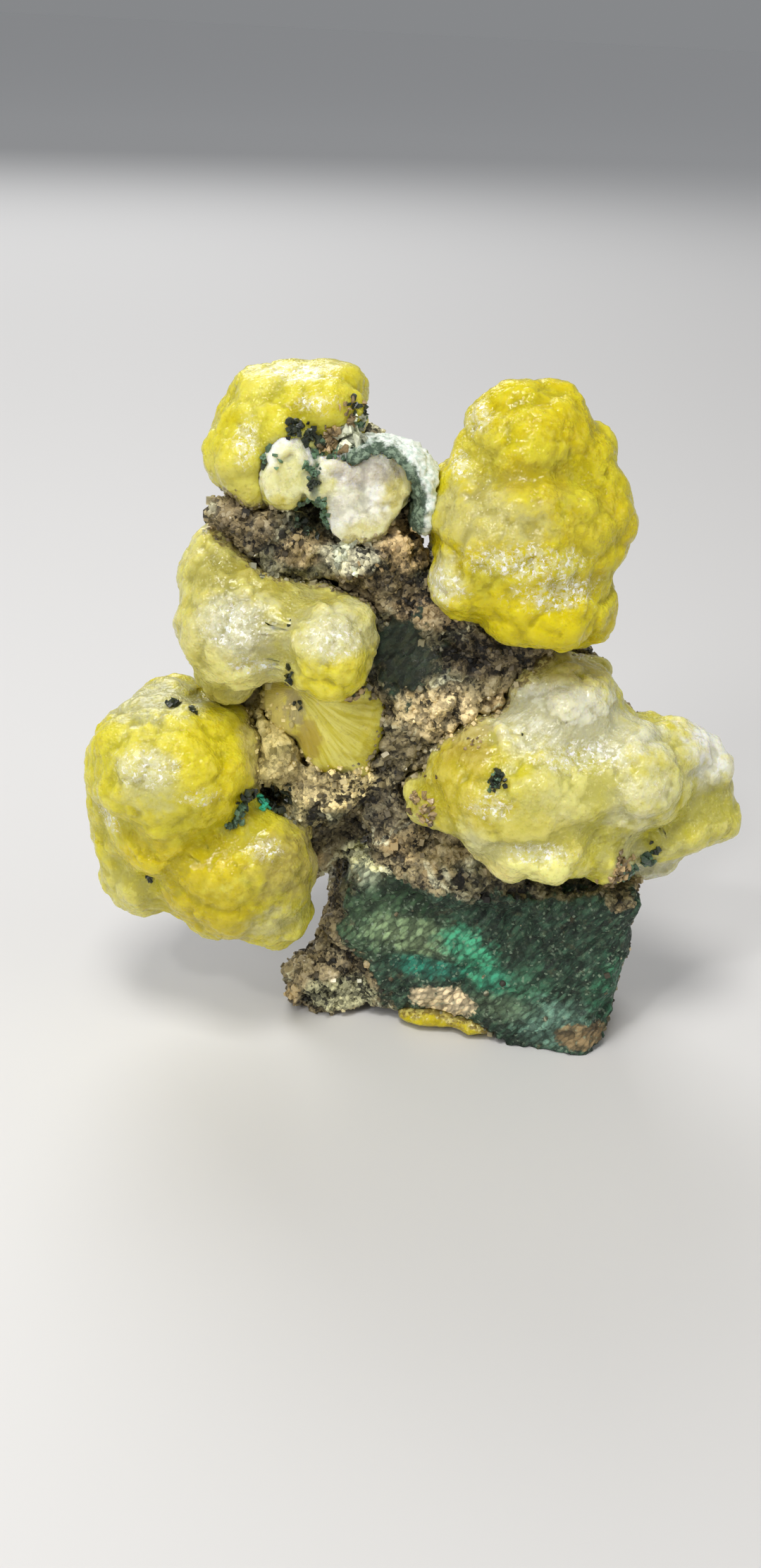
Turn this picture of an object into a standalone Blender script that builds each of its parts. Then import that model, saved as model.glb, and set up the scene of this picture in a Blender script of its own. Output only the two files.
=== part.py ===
"""A brucite specimen: yellow rounded lumps grown on a dark serpentine rock, which stands on its flat foot.

Every lump is a cluster of round lobes with smaller knobs grown over them. The rock is a stack of angular
chunks with a broken block for a foot, and it is hollowed where each lump sits in it. All places and sizes
below are millimetres: x to the right, y away from the front, z up from the surface that the foot rests on.
"""

import math
import random

import bmesh
import bpy
from mathutils import Matrix, Vector, noise

MM = 0.001
SWELL = 0.7  # how much larger a lump's socket is than the lump: thinned out, about 0.3 is left clear
SOCKET_SHARE = 0.5  # share of a lump's triangles that its socket has
SOCKET_LEAST = 300  # no socket is made plainer than this many triangles

KNOB_RADIUS = 4.2
KNOB_SPREAD = (0.75, 1.3)  # smallest and largest knob, as a share of that radius
KNOB_RISE = 1.1  # how far a knob stands out of its lump
CHUNK_SPREAD = (0.78, 1.08)  # how far a rock chunk's corners lie, as a share of its half-widths
BREAK_DEPTH = 1.1  # how deep the rock's skin is broken up, and how wide a broken facet is
BREAK_WIDTH = 7
LUMP_VOXEL = 0.9  # grid on which round lobes grow into one skin
ROCK_VOXEL = 1.3
BUILD_AREA = 400.0  # wider than anything here, for the tool that cuts the foot flat

# Each lobe: centre x, y, z, then half-widths along x, y, z, then its lean in degrees, clockwise.
TOP_RIGHT_LOBES = (
    (16, -3, 93, 14, 13, 13, 0),
    (16, 2, 106, 11, 11, 11.5, 0),
    (25, 1, 95, 9.5, 12, 10.5, 0),
    (19, -5, 84, 11.5, 11, 7.5, 0),
    (27, -2, 83, 5, 7, 7.5, 0),
    (8, -5, 87, 6.5, 9, 6.5, 0),
    (8, 0, 97, 7, 10, 9, 10),
    (25, 3, 106, 5.5, 8, 5, 0),
)
TOP_LEFT_LOBES = (
    (-22.5, 7, 106, 12, 12, 11.5, 0),
    (-16.5, 6, 112, 6.5, 10, 6.5, 0),
    (-29, 5, 103, 7, 11, 7.5, 0),
    (-27, 4, 99, 6, 9, 4.5, 0),
)
MIDDLE_LEFT_LOBES = (
    (-29, -4, 77, 10.5, 12, 10.5, 0),
    (-34, 1, 84, 5, 10, 7.5, 10),
    (-23, -3, 80, 9, 11, 5, 0),
    (-14.5, -9, 76, 8, 11, 8, 0),
    (-32, -1, 66, 5, 7, 4, 0),
)
FAN_LOBES = (
    (-12, -1, 60, 8, 8, 11, 0),
    (-19, 0, 63, 6.5, 8, 7, 0),
    (-10, 1, 52, 5, 7, 5, 0),
)
LOWER_LEFT_LOBES = (
    (-40, -7, 52, 14.5, 14, 12, 0),
    (-29, -6, 33, 14, 13, 13, 0),
    (-50, -1, 45, 6, 9, 8, 0),
    (-46, -2, 29, 7, 9, 7.5, 0),
    (-31, -5, 55, 6, 11, 6, 0),
    (-40, 1, 59, 7, 9, 4.5, 0),
    (-22, -5, 24, 6, 9, 5.5, 0),
    (-49, -1, 37, 6, 9, 6, 0),
    (-40, -4.5, 40, 11, 13, 8, 0),
)
RIGHT_LOBES = (
    (19, -7, 52, 15.5, 14, 12, 0),
    (25, 0, 65, 10.5, 12, 7.5, 0),
    (36, -5, 54, 11.5, 12, 9.5, 0),
    (47, 0, 43, 12, 9, 5.5, -8),
    (49, 2, 52.5, 7, 8, 6, 0),
    (22, -10, 43, 10, 10, 6.5, 0),
    (8, -4, 48, 9, 11, 5, 0),
    (13, -2, 58, 6.5, 10, 6, 0),
    (43, 0, 57, 7.5, 9, 4.5, 0),
    (33, -7, 41, 8, 8, 5, 0),
    (44, 2, 35, 6.5, 6, 3, -20),
)
BROKEN_LOBE_LOBES = (
    (-7.5, -3, 100.8, 4.9, 8, 5.6, 0),
    (-14.8, -3, 101.3, 4.9, 8, 3.6, 0),
    (-10.3, -3, 96.4, 5.4, 8, 4.8, 0),
    (-22.3, -1, 102, 4.4, 8.5, 6.6, 12),
)
UNDERSIDE_LOBES = (
    (8, -1, 2, 8, 4.5, 1.7, 0),
    (15, -3, 2, 5, 4.5, 1.5, 0),
)

# The broken lobe's flat face: a point on it and its turns from straight front, upwards and to the right.
BREAK_POINT = (-10, -6.5, 98)
BREAK_UP = 12
BREAK_RIGHT = 10

# The pale rind's middle line, seen from the front, over the broken lobe and down its right side.
RIND_LINE = ((-11.5, 105.2), (-7, 105.6), (-2.9, 104.6), (0.1, 101.7), (0.5, 98), (-0.3, 94.5))
RIND_Y = 0
RIND_HALF = (2.5, 7, 2.4)
RIND_STEPS = 5

# Broad slabs of rock behind the lumps: the outline's x, z seen from the front, then the front y and back y.
SLABS = (
    (((-54, 38), (-52, 51), (-40, 61), (-22, 66), (-8, 60), (-6, 36), (-24, 18), (-42, 21)), 2, 15),
    (((-4, 32), (-12, 58), (-7, 88), (8, 88), (19, 78), (22, 62), (24, 34)), -5, 22),
    (((10, 34), (8, 62), (21, 73), (31, 71), (40, 58), (48, 46), (43, 37)), 5, 18),
    (((-34, 62), (-37, 84), (-32, 98), (-25, 108), (-13, 110), (-2, 103), (0, 92), (-2, 60)), 2, 17),
    (((2, 74), (6, 90), (14, 95), (23, 88), (27, 78), (20, 70)), 4, 15),
)
BACK_SHARE = 0.86  # how wide a slab's back is beside its front

# Angular chunks that stand forward of the slabs: centre x, y, z, then half-widths, then the lean in degrees.
ROCK_CHUNKS = (
    (-13, 0, 49, 10, 9, 7, -10),
    (-23, -1, 54, 6.5, 9, 8, 0),
    (-24, 0, 91, 12, 8, 6, 25),
    (-8, -1, 88, 9, 7, 7, 0),
    (5, -2, 66, 10, 8, 13, 0),
    (14, -1, 75, 9, 7, 4, 0),
    (-13, 4, 5, 8, 7, 8, 0),
    (10, -3, 33, 14, 9, 6, 8),
)
# The foot's corners: around its bottom, then around its top, both from the left front, anticlockwise.
FOOT_CORNERS = (
    (-19, 4, -3), (33, -10, -3), (38, -3, -3), (38, 20, -3), (-14, 30, -3),
    (-8, -1, 31), (40, -10, 31), (42, -2, 31), (40, 18, 36), (-12, 26, 36),
)
ARCH_CENTRE = (5, -3, 0)  # the shallow hollow under the foot's front edge
ARCH_HALF = (17, 13, 2.8)


def material(name, colour, roughness):
    made = bpy.data.materials.new(name)
    made.use_nodes = True
    shader = made.node_tree.nodes["Principled BSDF"]
    shader.inputs["Base Color"].default_value = (*colour, 1)
    shader.inputs["Roughness"].default_value = roughness
    shader.inputs["Metallic"].default_value = 0
    made.diffuse_color = (*colour, 1)
    return made


def new_object(name, mesh, collection):
    obj = bpy.data.objects.new(name, mesh)
    collection.objects.link(obj)
    return obj


def bake(obj):
    """Turns the object's modifiers into its mesh."""
    bpy.context.view_layer.update()
    graph = bpy.context.evaluated_depsgraph_get()
    mesh = bpy.data.meshes.new_from_object(obj.evaluated_get(graph))
    obj.modifiers.clear()
    obj.data = mesh


def place(centre, half_widths, lean):
    """The matrix that turns a unit sphere into a leaning ellipsoid."""
    turn = Matrix.Rotation(math.radians(lean), 4, "Y")
    size = Matrix.Diagonal((*(width * MM for width in half_widths), 1))
    return Matrix.Translation(Vector(centre) * MM) @ turn @ size


def add_lobe(bm, centre, half_widths, lean=0, divisions=3):
    bmesh.ops.create_icosphere(bm, subdivisions=divisions, radius=1, matrix=place(centre, half_widths, lean))


def add_chunk(bm, centre, half_widths, lean, chance):
    """An angular lump: the hull of points pushed in and out from an ellipsoid."""
    made = bmesh.ops.create_icosphere(bm, subdivisions=2, radius=1)["verts"]
    for vert in made:
        vert.co *= chance.uniform(*CHUNK_SPREAD)
    bmesh.ops.transform(bm, matrix=place(centre, half_widths, lean), verts=made)
    hull_of(bm, made)


def add_slab(bm, outline, front, back):
    """A broad broken slab: the hull of its outline and of a smaller copy of it behind."""
    middle_x = sum(x for x, _ in outline) / len(outline)
    middle_z = sum(z for _, z in outline) / len(outline)
    corners = [(x, front, z) for x, z in outline]
    for x, z in outline:
        corners.append((middle_x + (x - middle_x) * BACK_SHARE, back, middle_z + (z - middle_z) * BACK_SHARE))
    add_hull(bm, corners)


def add_hull(bm, corners):
    bmesh.ops.convex_hull(bm, input=[bm.verts.new(Vector(corner) * MM) for corner in corners])


def hull_of(bm, verts):
    faces = {face for vert in verts for face in vert.link_faces}
    bmesh.ops.delete(bm, geom=list(faces), context="FACES_ONLY")
    hull = bmesh.ops.convex_hull(bm, input=verts)
    spare = set(hull["geom_interior"]) | set(hull["geom_unused"])
    bmesh.ops.delete(bm, geom=[item for item in spare if item.is_valid], context="VERTS")


def mesh_from(bm, name):
    bmesh.ops.recalc_face_normals(bm, faces=bm.faces)
    mesh = bpy.data.meshes.new(name)
    bm.to_mesh(mesh)
    bm.free()
    return mesh


def join_skin(obj, voxel, smoothing):
    """Grows overlapping shapes into one skin and rounds the creases between them."""
    skin = obj.modifiers.new("skin", "REMESH")
    skin.mode = "VOXEL"
    skin.voxel_size = voxel * MM
    if smoothing:
        rounding = obj.modifiers.new("rounding", "SMOOTH")
        rounding.factor = 0.5
        rounding.iterations = smoothing
    bake(obj)


def thin_out(obj, triangles):
    """Lowers the skin to about this many triangles."""
    obj.data.calc_loop_triangles()
    fewer = obj.modifiers.new("fewer", "DECIMATE")
    fewer.ratio = min(1, triangles / len(obj.data.loop_triangles))
    fewer.use_collapse_triangulate = True
    bake(obj)


def add_knobs(obj, count, radius, rise, chance):
    """Sets small round knobs into the skin, each standing proud of it by the rise."""
    faces = list(obj.data.polygons)
    picked = chance.choices(faces, weights=[face.area for face in faces], k=count)
    spots = [(face.center.copy() / MM, face.normal.copy()) for face in picked]
    bm = bmesh.new()
    bm.from_mesh(obj.data)
    for spot, outward in spots:
        size = radius * chance.uniform(*KNOB_SPREAD)
        add_lobe(bm, spot - outward * (size - rise), (size, size, size), divisions=2)
    obj.data = mesh_from(bm, obj.name)
    join_skin(obj, LUMP_VOXEL, 2)


def finish_lump(obj, collection, finish, triangles):
    """Thins the skin to its facets. Returns it with its socket, a swollen copy that hollows neighbours."""
    socket = new_object(obj.name + "_socket", obj.data.copy(), collection)
    hide(socket)
    grow = socket.modifiers.new("grow", "DISPLACE")
    grow.strength = SWELL * MM
    grow.mid_level = 0
    join_skin(socket, LUMP_VOXEL, 0)
    thin_out(socket, max(SOCKET_LEAST, triangles * SOCKET_SHARE))
    thin_out(obj, triangles)
    obj.data.shade_smooth()
    obj.data.materials.append(finish)
    return obj, socket


def lump(name, lobes, finish, collections, triangles, knobs=0, seed=0):
    """Round lobes grown together, with knobs over them, as one closed solid."""
    specimen, tools = collections
    bm = bmesh.new()
    for x, y, z, half_x, half_y, half_z, lean in lobes:
        add_lobe(bm, (x, y, z), (half_x, half_y, half_z), lean)
    obj = new_object(name, mesh_from(bm, name), specimen)
    join_skin(obj, LUMP_VOXEL, 3)
    if knobs:
        add_knobs(obj, knobs, KNOB_RADIUS, KNOB_RISE, random.Random(seed))
    return finish_lump(obj, tools, finish, triangles)


def rind(name, finish, collections, triangles):
    """A thin curved wall: flat lobes set close together along its line."""
    specimen, tools = collections
    bm = bmesh.new()
    for (x0, z0), (x1, z1) in zip(RIND_LINE, RIND_LINE[1:]):
        for step in range(RIND_STEPS):
            share = step / RIND_STEPS
            centre = (x0 + (x1 - x0) * share, RIND_Y, z0 + (z1 - z0) * share)
            add_lobe(bm, centre, RIND_HALF, divisions=2)
    obj = new_object(name, mesh_from(bm, name), specimen)
    join_skin(obj, LUMP_VOXEL, 1)
    return finish_lump(obj, tools, finish, triangles)


def rock(name, finish, collection, triangles, seed):
    """Chunks and the foot block grown into one rock, with a rough broken skin."""
    chance = random.Random(seed)
    bm = bmesh.new()
    for x, y, z, half_x, half_y, half_z, lean in ROCK_CHUNKS:
        add_chunk(bm, (x, y, z), (half_x, half_y, half_z), lean, chance)
    for outline, front, back in SLABS:
        add_slab(bm, outline, front, back)
    add_hull(bm, FOOT_CORNERS)
    obj = new_object(name, mesh_from(bm, name), collection)
    join_skin(obj, ROCK_VOXEL, 1)
    roughen(obj)
    thin_out(obj, triangles)
    obj.data.materials.append(finish)
    return obj


def roughen(obj):
    """Pushes each point of the skin in or out by a fixed noise, four layers deep."""
    normals = [vert.normal.copy() for vert in obj.data.vertices]
    for vert, normal in zip(obj.data.vertices, normals):
        push = noise.fractal(vert.co / (BREAK_WIDTH * MM), 0.9, 2.0, 4)
        vert.co += normal * BREAK_DEPTH * MM * push
    obj.data.update()


def hide(tool):
    tool.hide_render = True
    tool.display_type = "WIRE"


def hollow(obj, tools):
    """Cuts every tool that reaches the solid out of it."""
    for tool in tools:
        if boxes_meet(obj, tool):
            cut = obj.modifiers.new("cut", "BOOLEAN")
            cut.operation = "DIFFERENCE"
            cut.solver = "EXACT"
            cut.object = tool
            bake(obj)
    keep_largest(obj)


def box_of(obj):
    corners = [obj.matrix_world @ Vector(corner) for corner in obj.bound_box]
    low = Vector(min(corner[axis] for corner in corners) for axis in range(3))
    high = Vector(max(corner[axis] for corner in corners) for axis in range(3))
    return low, high


def boxes_meet(one, other):
    (low_a, high_a), (low_b, high_b) = box_of(one), box_of(other)
    return all(low_a[axis] < high_b[axis] and low_b[axis] < high_a[axis] for axis in range(3))


def keep_largest(obj):
    """Drops the chips that a cut has left loose."""
    bm = bmesh.new()
    bm.from_mesh(obj.data)
    left = set(bm.verts)
    bodies = []
    while left:
        body, front = set(), [left.pop()]
        while front:
            vert = front.pop()
            body.add(vert)
            near = {edge.other_vert(vert) for edge in vert.link_edges} & left
            left -= near
            front.extend(near)
        bodies.append(body)
    bodies.sort(key=len)
    for body in bodies[:-1]:
        bmesh.ops.delete(bm, geom=list(body), context="VERTS")
    bm.to_mesh(obj.data)
    bm.free()


def block_cutter(name, place_block, collection):
    bm = bmesh.new()
    bmesh.ops.create_cube(bm, size=1, matrix=place_block)
    tool = new_object(name, mesh_from(bm, name), collection)
    hide(tool)
    return tool


def floor_cutter(collection):
    """A block that reaches up to the resting face."""
    place_block = Matrix.Translation((0, 0, -BUILD_AREA * MM / 2)) @ Matrix.Scale(BUILD_AREA * MM, 4)
    return block_cutter("floor", place_block, collection)


def break_cutter(collection):
    """A block in front of the broken lobe, whose back is the plane of the break."""
    turn_right = Matrix.Rotation(math.radians(BREAK_RIGHT), 4, "Z")
    tip_up = Matrix.Rotation(math.radians(-BREAK_UP), 4, "X")
    forward = Matrix.Translation((0, -BUILD_AREA * MM / 2, 0)) @ Matrix.Scale(BUILD_AREA * MM, 4)
    plane = Matrix.Translation(Vector(BREAK_POINT) * MM) @ turn_right @ tip_up
    return block_cutter("break", plane @ forward, collection)


def arch_cutter(collection):
    bm = bmesh.new()
    add_lobe(bm, ARCH_CENTRE, ARCH_HALF)
    tool = new_object("arch", mesh_from(bm, "arch"), collection)
    hide(tool)
    return tool


def centre_on_origin(parts):
    """Moves every solid so that the origin is at the middle of the specimen's box, on its foot."""
    boxes = [box_of(part) for part in parts]
    low = Vector(min(box[0][axis] for box in boxes) for axis in range(3))
    high = Vector(max(box[1][axis] for box in boxes) for axis in range(3))
    shift = Vector((-(low.x + high.x) / 2, -(low.y + high.y) / 2, -low.z))
    for part in parts:
        part.data.transform(Matrix.Translation(shift))
    print("moved by", [round(value / MM, 2) for value in shift], "mm")


def main():
    for obj in list(bpy.data.objects):
        bpy.data.objects.remove(obj)
    specimen = bpy.data.collections.new("brucite_specimen")
    tools = bpy.data.collections.new("cutters")
    bpy.context.scene.collection.children.link(specimen)
    bpy.context.scene.collection.children.link(tools)

    lemon = material("lemon brucite", (0.86, 0.72, 0.05), 0.3)
    pale = material("pale brucite", (0.80, 0.76, 0.42), 0.35)
    chalky = material("broken brucite", (0.72, 0.70, 0.56), 0.5)
    mint = material("mint rind", (0.55, 0.68, 0.60), 0.6)
    stone = material("serpentine", (0.10, 0.11, 0.07), 0.7)

    collections = (specimen, tools)
    lumps = [
        lump("brucite_broken_lobe", BROKEN_LOBE_LOBES, chalky, collections, triangles=320),
        lump("brucite_top_right", TOP_RIGHT_LOBES, lemon, collections, triangles=900, knobs=34, seed=2),
        lump("brucite_middle_left", MIDDLE_LEFT_LOBES, pale, collections, triangles=720, knobs=22, seed=3),
        lump("brucite_right", RIGHT_LOBES, pale, collections, triangles=1050, knobs=34, seed=4),
        lump("brucite_lower_left", LOWER_LEFT_LOBES, lemon, collections, triangles=950, knobs=34, seed=5),
        lump("brucite_fan", FAN_LOBES, pale, collections, triangles=320),
        rind("pale_rind", mint, collections, triangles=240),
        lump("brucite_top_left", TOP_LEFT_LOBES, lemon, collections, triangles=620, knobs=20, seed=7),
        lump("brucite_underside", UNDERSIDE_LOBES, lemon, collections, triangles=120),
    ]
    hollow(lumps[0][0], [break_cutter(tools)])
    sockets = []
    for obj, socket in lumps:
        hollow(obj, sockets)
        sockets.append(socket)
    matrix = rock("serpentine_matrix", stone, specimen, triangles=1550, seed=9)
    hollow(matrix, [floor_cutter(tools), arch_cutter(tools)] + sockets)

    parts = [obj for obj, _ in lumps] + [matrix]
    for part in parts:
        print(part.name, len(part.data.polygons), "faces")
    centre_on_origin(parts)


main()
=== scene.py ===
# %% [markdown]
# # Brucite on serpentine rock
# Brucite is a soft, waxy mineral that grows in round lumps, as wax drips do, and this
# piece carries lemon, golden and nearly white lumps on a dark green and brown rock.
# The solid model gives every lump its true place and size. This lesson gives each one
# the skin of the real thing: knobs, sugary beads, fibres and loose grains.
#
# We start by loading the solids. They are the fixed frame, and nothing moves them.
# %% Load the frame
import math

import bpy
import numpy as np
from mathutils import Matrix, Vector
from mathutils.bvhtree import BVHTree


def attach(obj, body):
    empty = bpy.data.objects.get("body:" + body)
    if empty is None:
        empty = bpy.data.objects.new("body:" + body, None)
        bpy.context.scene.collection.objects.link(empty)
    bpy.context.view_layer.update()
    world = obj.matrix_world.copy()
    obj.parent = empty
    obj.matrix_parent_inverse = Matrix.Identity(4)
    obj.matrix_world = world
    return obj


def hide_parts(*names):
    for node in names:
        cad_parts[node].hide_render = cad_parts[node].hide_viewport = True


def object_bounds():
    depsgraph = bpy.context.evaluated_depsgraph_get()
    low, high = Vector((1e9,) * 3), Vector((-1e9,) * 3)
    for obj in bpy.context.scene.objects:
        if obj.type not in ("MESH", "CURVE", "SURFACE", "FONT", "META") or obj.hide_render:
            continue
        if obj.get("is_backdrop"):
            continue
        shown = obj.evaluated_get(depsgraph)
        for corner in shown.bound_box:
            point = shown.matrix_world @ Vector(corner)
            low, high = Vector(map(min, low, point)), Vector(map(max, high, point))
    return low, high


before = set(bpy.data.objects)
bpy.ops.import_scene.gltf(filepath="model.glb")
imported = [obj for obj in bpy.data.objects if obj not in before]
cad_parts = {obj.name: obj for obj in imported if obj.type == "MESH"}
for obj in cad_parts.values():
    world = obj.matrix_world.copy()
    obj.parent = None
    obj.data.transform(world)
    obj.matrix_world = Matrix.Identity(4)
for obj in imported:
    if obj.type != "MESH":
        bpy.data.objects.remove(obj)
CAD_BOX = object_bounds()
MM = 0.001
print("solids:", sorted(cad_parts))
print("box of the solids in mm:", [[round(c / MM, 1) for c in corner] for corner in CAD_BOX])

# %% [markdown]
# ## The camera
# A specimen this small is looked at from a hand's length away and a little from above,
# so its rounded tops and its dark foot show together. The camera leans by three degrees,
# as a hand-held one does. Blender fits the sensor's 36 mm to the longer side of the
# picture, and the longer side of a tall picture is its height.
# %% Place the camera
CAMERA_PLACE = Vector((-6.17, -273.74, 170.0)) * MM
LOOK_DOWN = 24.5
LEAN = 3.0
FOCAL_PIXELS = 2414.0
PICTURE_HEIGHT = 2224
SENSOR = 36.0
NEAREST_SEEN = 0.01

camera_data = bpy.data.cameras.new("hand_camera")
camera_data.sensor_width = SENSOR
camera_data.lens = camera_data.sensor_width * FOCAL_PIXELS / PICTURE_HEIGHT
camera_data.clip_start = NEAREST_SEEN
camera = bpy.data.objects.new("hand_camera", camera_data)
camera.matrix_world = (
    Matrix.Translation(CAMERA_PLACE)
    @ Matrix.Rotation(math.radians(90 - LOOK_DOWN), 4, "X")
    @ Matrix.Rotation(math.radians(LEAN), 4, "Z")
)
bpy.context.scene.collection.objects.link(camera)
bpy.context.scene.camera = camera
print("lens in mm:", round(camera_data.lens, 2))

# %% [markdown]
# ## Small helpers for node trees
# Both materials and Geometry Nodes are trees of nodes. Making each node by hand takes
# four or five lines, so one helper makes a node, sets its values and joins its inputs.
# Where a value is itself the output of another node, the helper draws the wire.
# %% Node helpers
def wire(tree, kind, inputs=None, **settings):
    """Adds a node; each input is a plain value, or another node's output to join."""
    node = tree.nodes.new(kind)
    for name, value in settings.items():
        setattr(node, name, value)
    for key, value in (inputs or {}).items():
        if isinstance(value, bpy.types.NodeSocket):
            tree.links.new(value, node.inputs[key])
        else:
            node.inputs[key].default_value = value
    return node


def maths(tree, operation, *values, clamp=False):
    """One Math node, by its operation's name."""
    inputs = dict(enumerate(values))
    return wire(tree, "ShaderNodeMath", inputs, operation=operation, use_clamp=clamp).outputs[0]


def vector_maths(tree, operation, *values):
    """One Vector Math node that gives a vector."""
    return wire(tree, "ShaderNodeVectorMath", dict(enumerate(values)), operation=operation).outputs[0]


def length_of(tree, vector):
    """How long a vector is."""
    return wire(tree, "ShaderNodeVectorMath", {0: vector}, operation="LENGTH").outputs["Value"]


def smooth_step(tree, value, low, high, to_low=0.0, to_high=1.0):
    """Goes softly from to_low to to_high while value goes from low to high."""
    return wire(
        tree, "ShaderNodeMapRange",
        {"Value": value, "From Min": low, "From Max": high, "To Min": to_low, "To Max": to_high},
        interpolation_type="SMOOTHSTEP",
    ).outputs["Result"]


def noise(tree, where, size, detail=2.0, roughness=0.5, distortion=0.0):
    """A noise whose blobs are about size metres across."""
    return wire(
        tree, "ShaderNodeTexNoise",
        {"Vector": where, "Scale": 1 / size, "Detail": detail, "Roughness": roughness, "Distortion": distortion},
    ).outputs[0]


def cells(tree, where, size, feature="F1", **more):
    """A Voronoi pattern; size is a cell's in metres, or a socket that gives cells per metre."""
    scale = 1 / size if isinstance(size, float) else size
    return wire(tree, "ShaderNodeTexVoronoi", {"Vector": where, "Scale": scale, **more}, feature=feature)


# %% [markdown]
# Some sums come up in nearly every tree below, so each gets a plain name. A long recipe
# then reads more like a sentence.
# %% Named sums
def times(tree, first, second):
    return maths(tree, "MULTIPLY", first, second)


def plus(tree, first, second):
    return maths(tree, "ADD", first, second)


def add_some(tree, value, share, to):
    """value times share, added to a third number."""
    return maths(tree, "MULTIPLY_ADD", value, share, to)


def about_zero(tree, value, middle=0.5):
    """A pattern moved down by its middle, so that it lifts as much as it sinks."""
    return maths(tree, "SUBTRACT", value, middle)


def scaled(tree, vector, factor):
    """A vector or a colour, times one number."""
    return wire(tree, "ShaderNodeVectorMath", {0: vector, "Scale": factor}, operation="SCALE").outputs[0]


def per_metre(tree, size):
    """How many fit in a metre, worked out from a recipe's own size input."""
    return maths(tree, "DIVIDE", 1.0, size)


def axes_of(tree, vector):
    """The X, Y and Z of a vector."""
    return wire(tree, "ShaderNodeSeparateXYZ", {0: vector}).outputs


def cell_tone(tree, pattern):
    """Each Voronoi cell's own chance tone, 0 to 1."""
    return wire(tree, "ShaderNodeSeparateColor", {0: pattern.outputs["Color"]}).outputs[0]


def stored(tree, name):
    """A number that the piece's points carry, as its finish reads it."""
    return wire(tree, "ShaderNodeAttribute", attribute_name=name).outputs["Fac"]


# %% [markdown]
# ## Trees for shapes
# A Geometry Nodes tree is a recipe with named inputs. One helper opens a tree with the
# inputs we ask for, and another closes it. A third hangs the recipe on an object and
# fills the inputs in by their identifiers. The last one evaluates everything and keeps
# the result as a plain mesh, because live recipes and instances are dropped on export.
# %% Geometry helpers
SOCKET_KINDS = {"size": "NodeSocketFloat", "count": "NodeSocketInt", "material": "NodeSocketMaterial"}


def new_recipe(name, **inputs):
    """An empty Geometry Nodes tree; inputs are name=(kind, default)."""
    tree = bpy.data.node_groups.new(name, "GeometryNodeTree")
    face = tree.interface
    face.new_socket("Geometry", in_out="INPUT", socket_type="NodeSocketGeometry")
    for label, (kind, value) in inputs.items():
        socket = face.new_socket(label, in_out="INPUT", socket_type=SOCKET_KINDS[kind])
        if value is not None:
            socket.default_value = value
    face.new_socket("Geometry", in_out="OUTPUT", socket_type="NodeSocketGeometry")
    return tree, tree.nodes.new("NodeGroupInput").outputs


def finish_recipe(tree, geometry, material):
    """Every recipe ends the same way: real meshes, one material, out."""
    real = wire(tree, "GeometryNodeRealizeInstances", {"Geometry": geometry})
    painted = wire(tree, "GeometryNodeSetMaterial", {"Geometry": real.outputs[0], "Material": material})
    out = tree.nodes.new("NodeGroupOutput")
    tree.links.new(painted.outputs[0], out.inputs[0])


def follow_recipe(piece, tree, **values):
    """Hangs a recipe on the piece, with its inputs set by their identifiers."""
    modifier = piece.modifiers.new(tree.name, "NODES")
    modifier.node_group = tree
    for item in tree.interface.items_tree:
        if item.in_out == "INPUT" and item.name in values:
            modifier[item.identifier] = values[item.name]


def settle(piece):
    """Turns a piece with live modifiers into a plain mesh."""
    seen = bpy.context.evaluated_depsgraph_get()
    mesh = bpy.data.meshes.new_from_object(piece.evaluated_get(seen), depsgraph=seen)
    piece.modifiers.clear()
    old, piece.data = piece.data, mesh
    bpy.data.meshes.remove(old)
    return piece


def new_piece(name, mesh):
    piece = bpy.data.objects.new(name, mesh)
    bpy.context.scene.collection.objects.link(piece)
    return piece


def points_of(mesh):
    """The mesh's points as an array, in metres."""
    found = np.empty(len(mesh.vertices) * 3)
    mesh.vertices.foreach_get("co", found)
    return found.reshape(-1, 3)


def triangles_of(mesh):
    return sum(len(p.vertices) - 2 for p in mesh.polygons)


def as_inputs(sizes):
    """A recipe's inputs from a table of sizes, with a material last."""
    return {**{label: ("size", value) for label, value in sizes.items()}, "Material": ("material", None)}


# %% [markdown]
# Some things have to be known point by point: where the skin lies in a hollow, or how
# near the rock is. These helpers read a mesh's points and normals as arrays, and store
# one number on each point, where a recipe or a finish can read it.
# %% Numbers on points
def normals_of(mesh):
    """The way that each point faces."""
    found = np.empty(len(mesh.vertices) * 3)
    mesh.vertices.foreach_get("normal", found)
    return found.reshape(-1, 3)


def store(mesh, name, values):
    """Keeps one number on every point of the mesh."""
    mark = mesh.attributes.new(name, "FLOAT", "POINT")
    mark.data.foreach_set("value", np.asarray(values, np.float32))


# %% [markdown]
# ## A fine copy of a solid
# The solids are made of flat facets two or three millimetres wide. For a skin we copy
# one, merge its doubled points, and remesh it with voxels of about a third of a
# millimetre. A few rounds of smoothing then take the facets away. The solid itself
# is never touched.
#
# Between two lobes of a real lump the wax fills the crease with a soft valley. So a copy
# may be swollen by a few millimetres, remeshed and shrunk again: what closed while it
# was swollen stays closed.
# %% Copying and refining
import bmesh

SWOLLEN_VOXEL = 1.3
EVENING_ROUNDS = 3
MERGE_REACH = 0.002 * MM


def add_voxels(piece, label, voxel):
    """A live Remesh modifier; voxel in mm."""
    remesh = piece.modifiers.new(label, "REMESH")
    remesh.mode = "VOXEL"
    remesh.voxel_size = voxel * MM


def add_rounding(piece, label, rounds):
    """A live Smooth modifier."""
    smooth = piece.modifiers.new(label, "SMOOTH")
    smooth.factor = 0.5
    smooth.iterations = rounds


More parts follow.
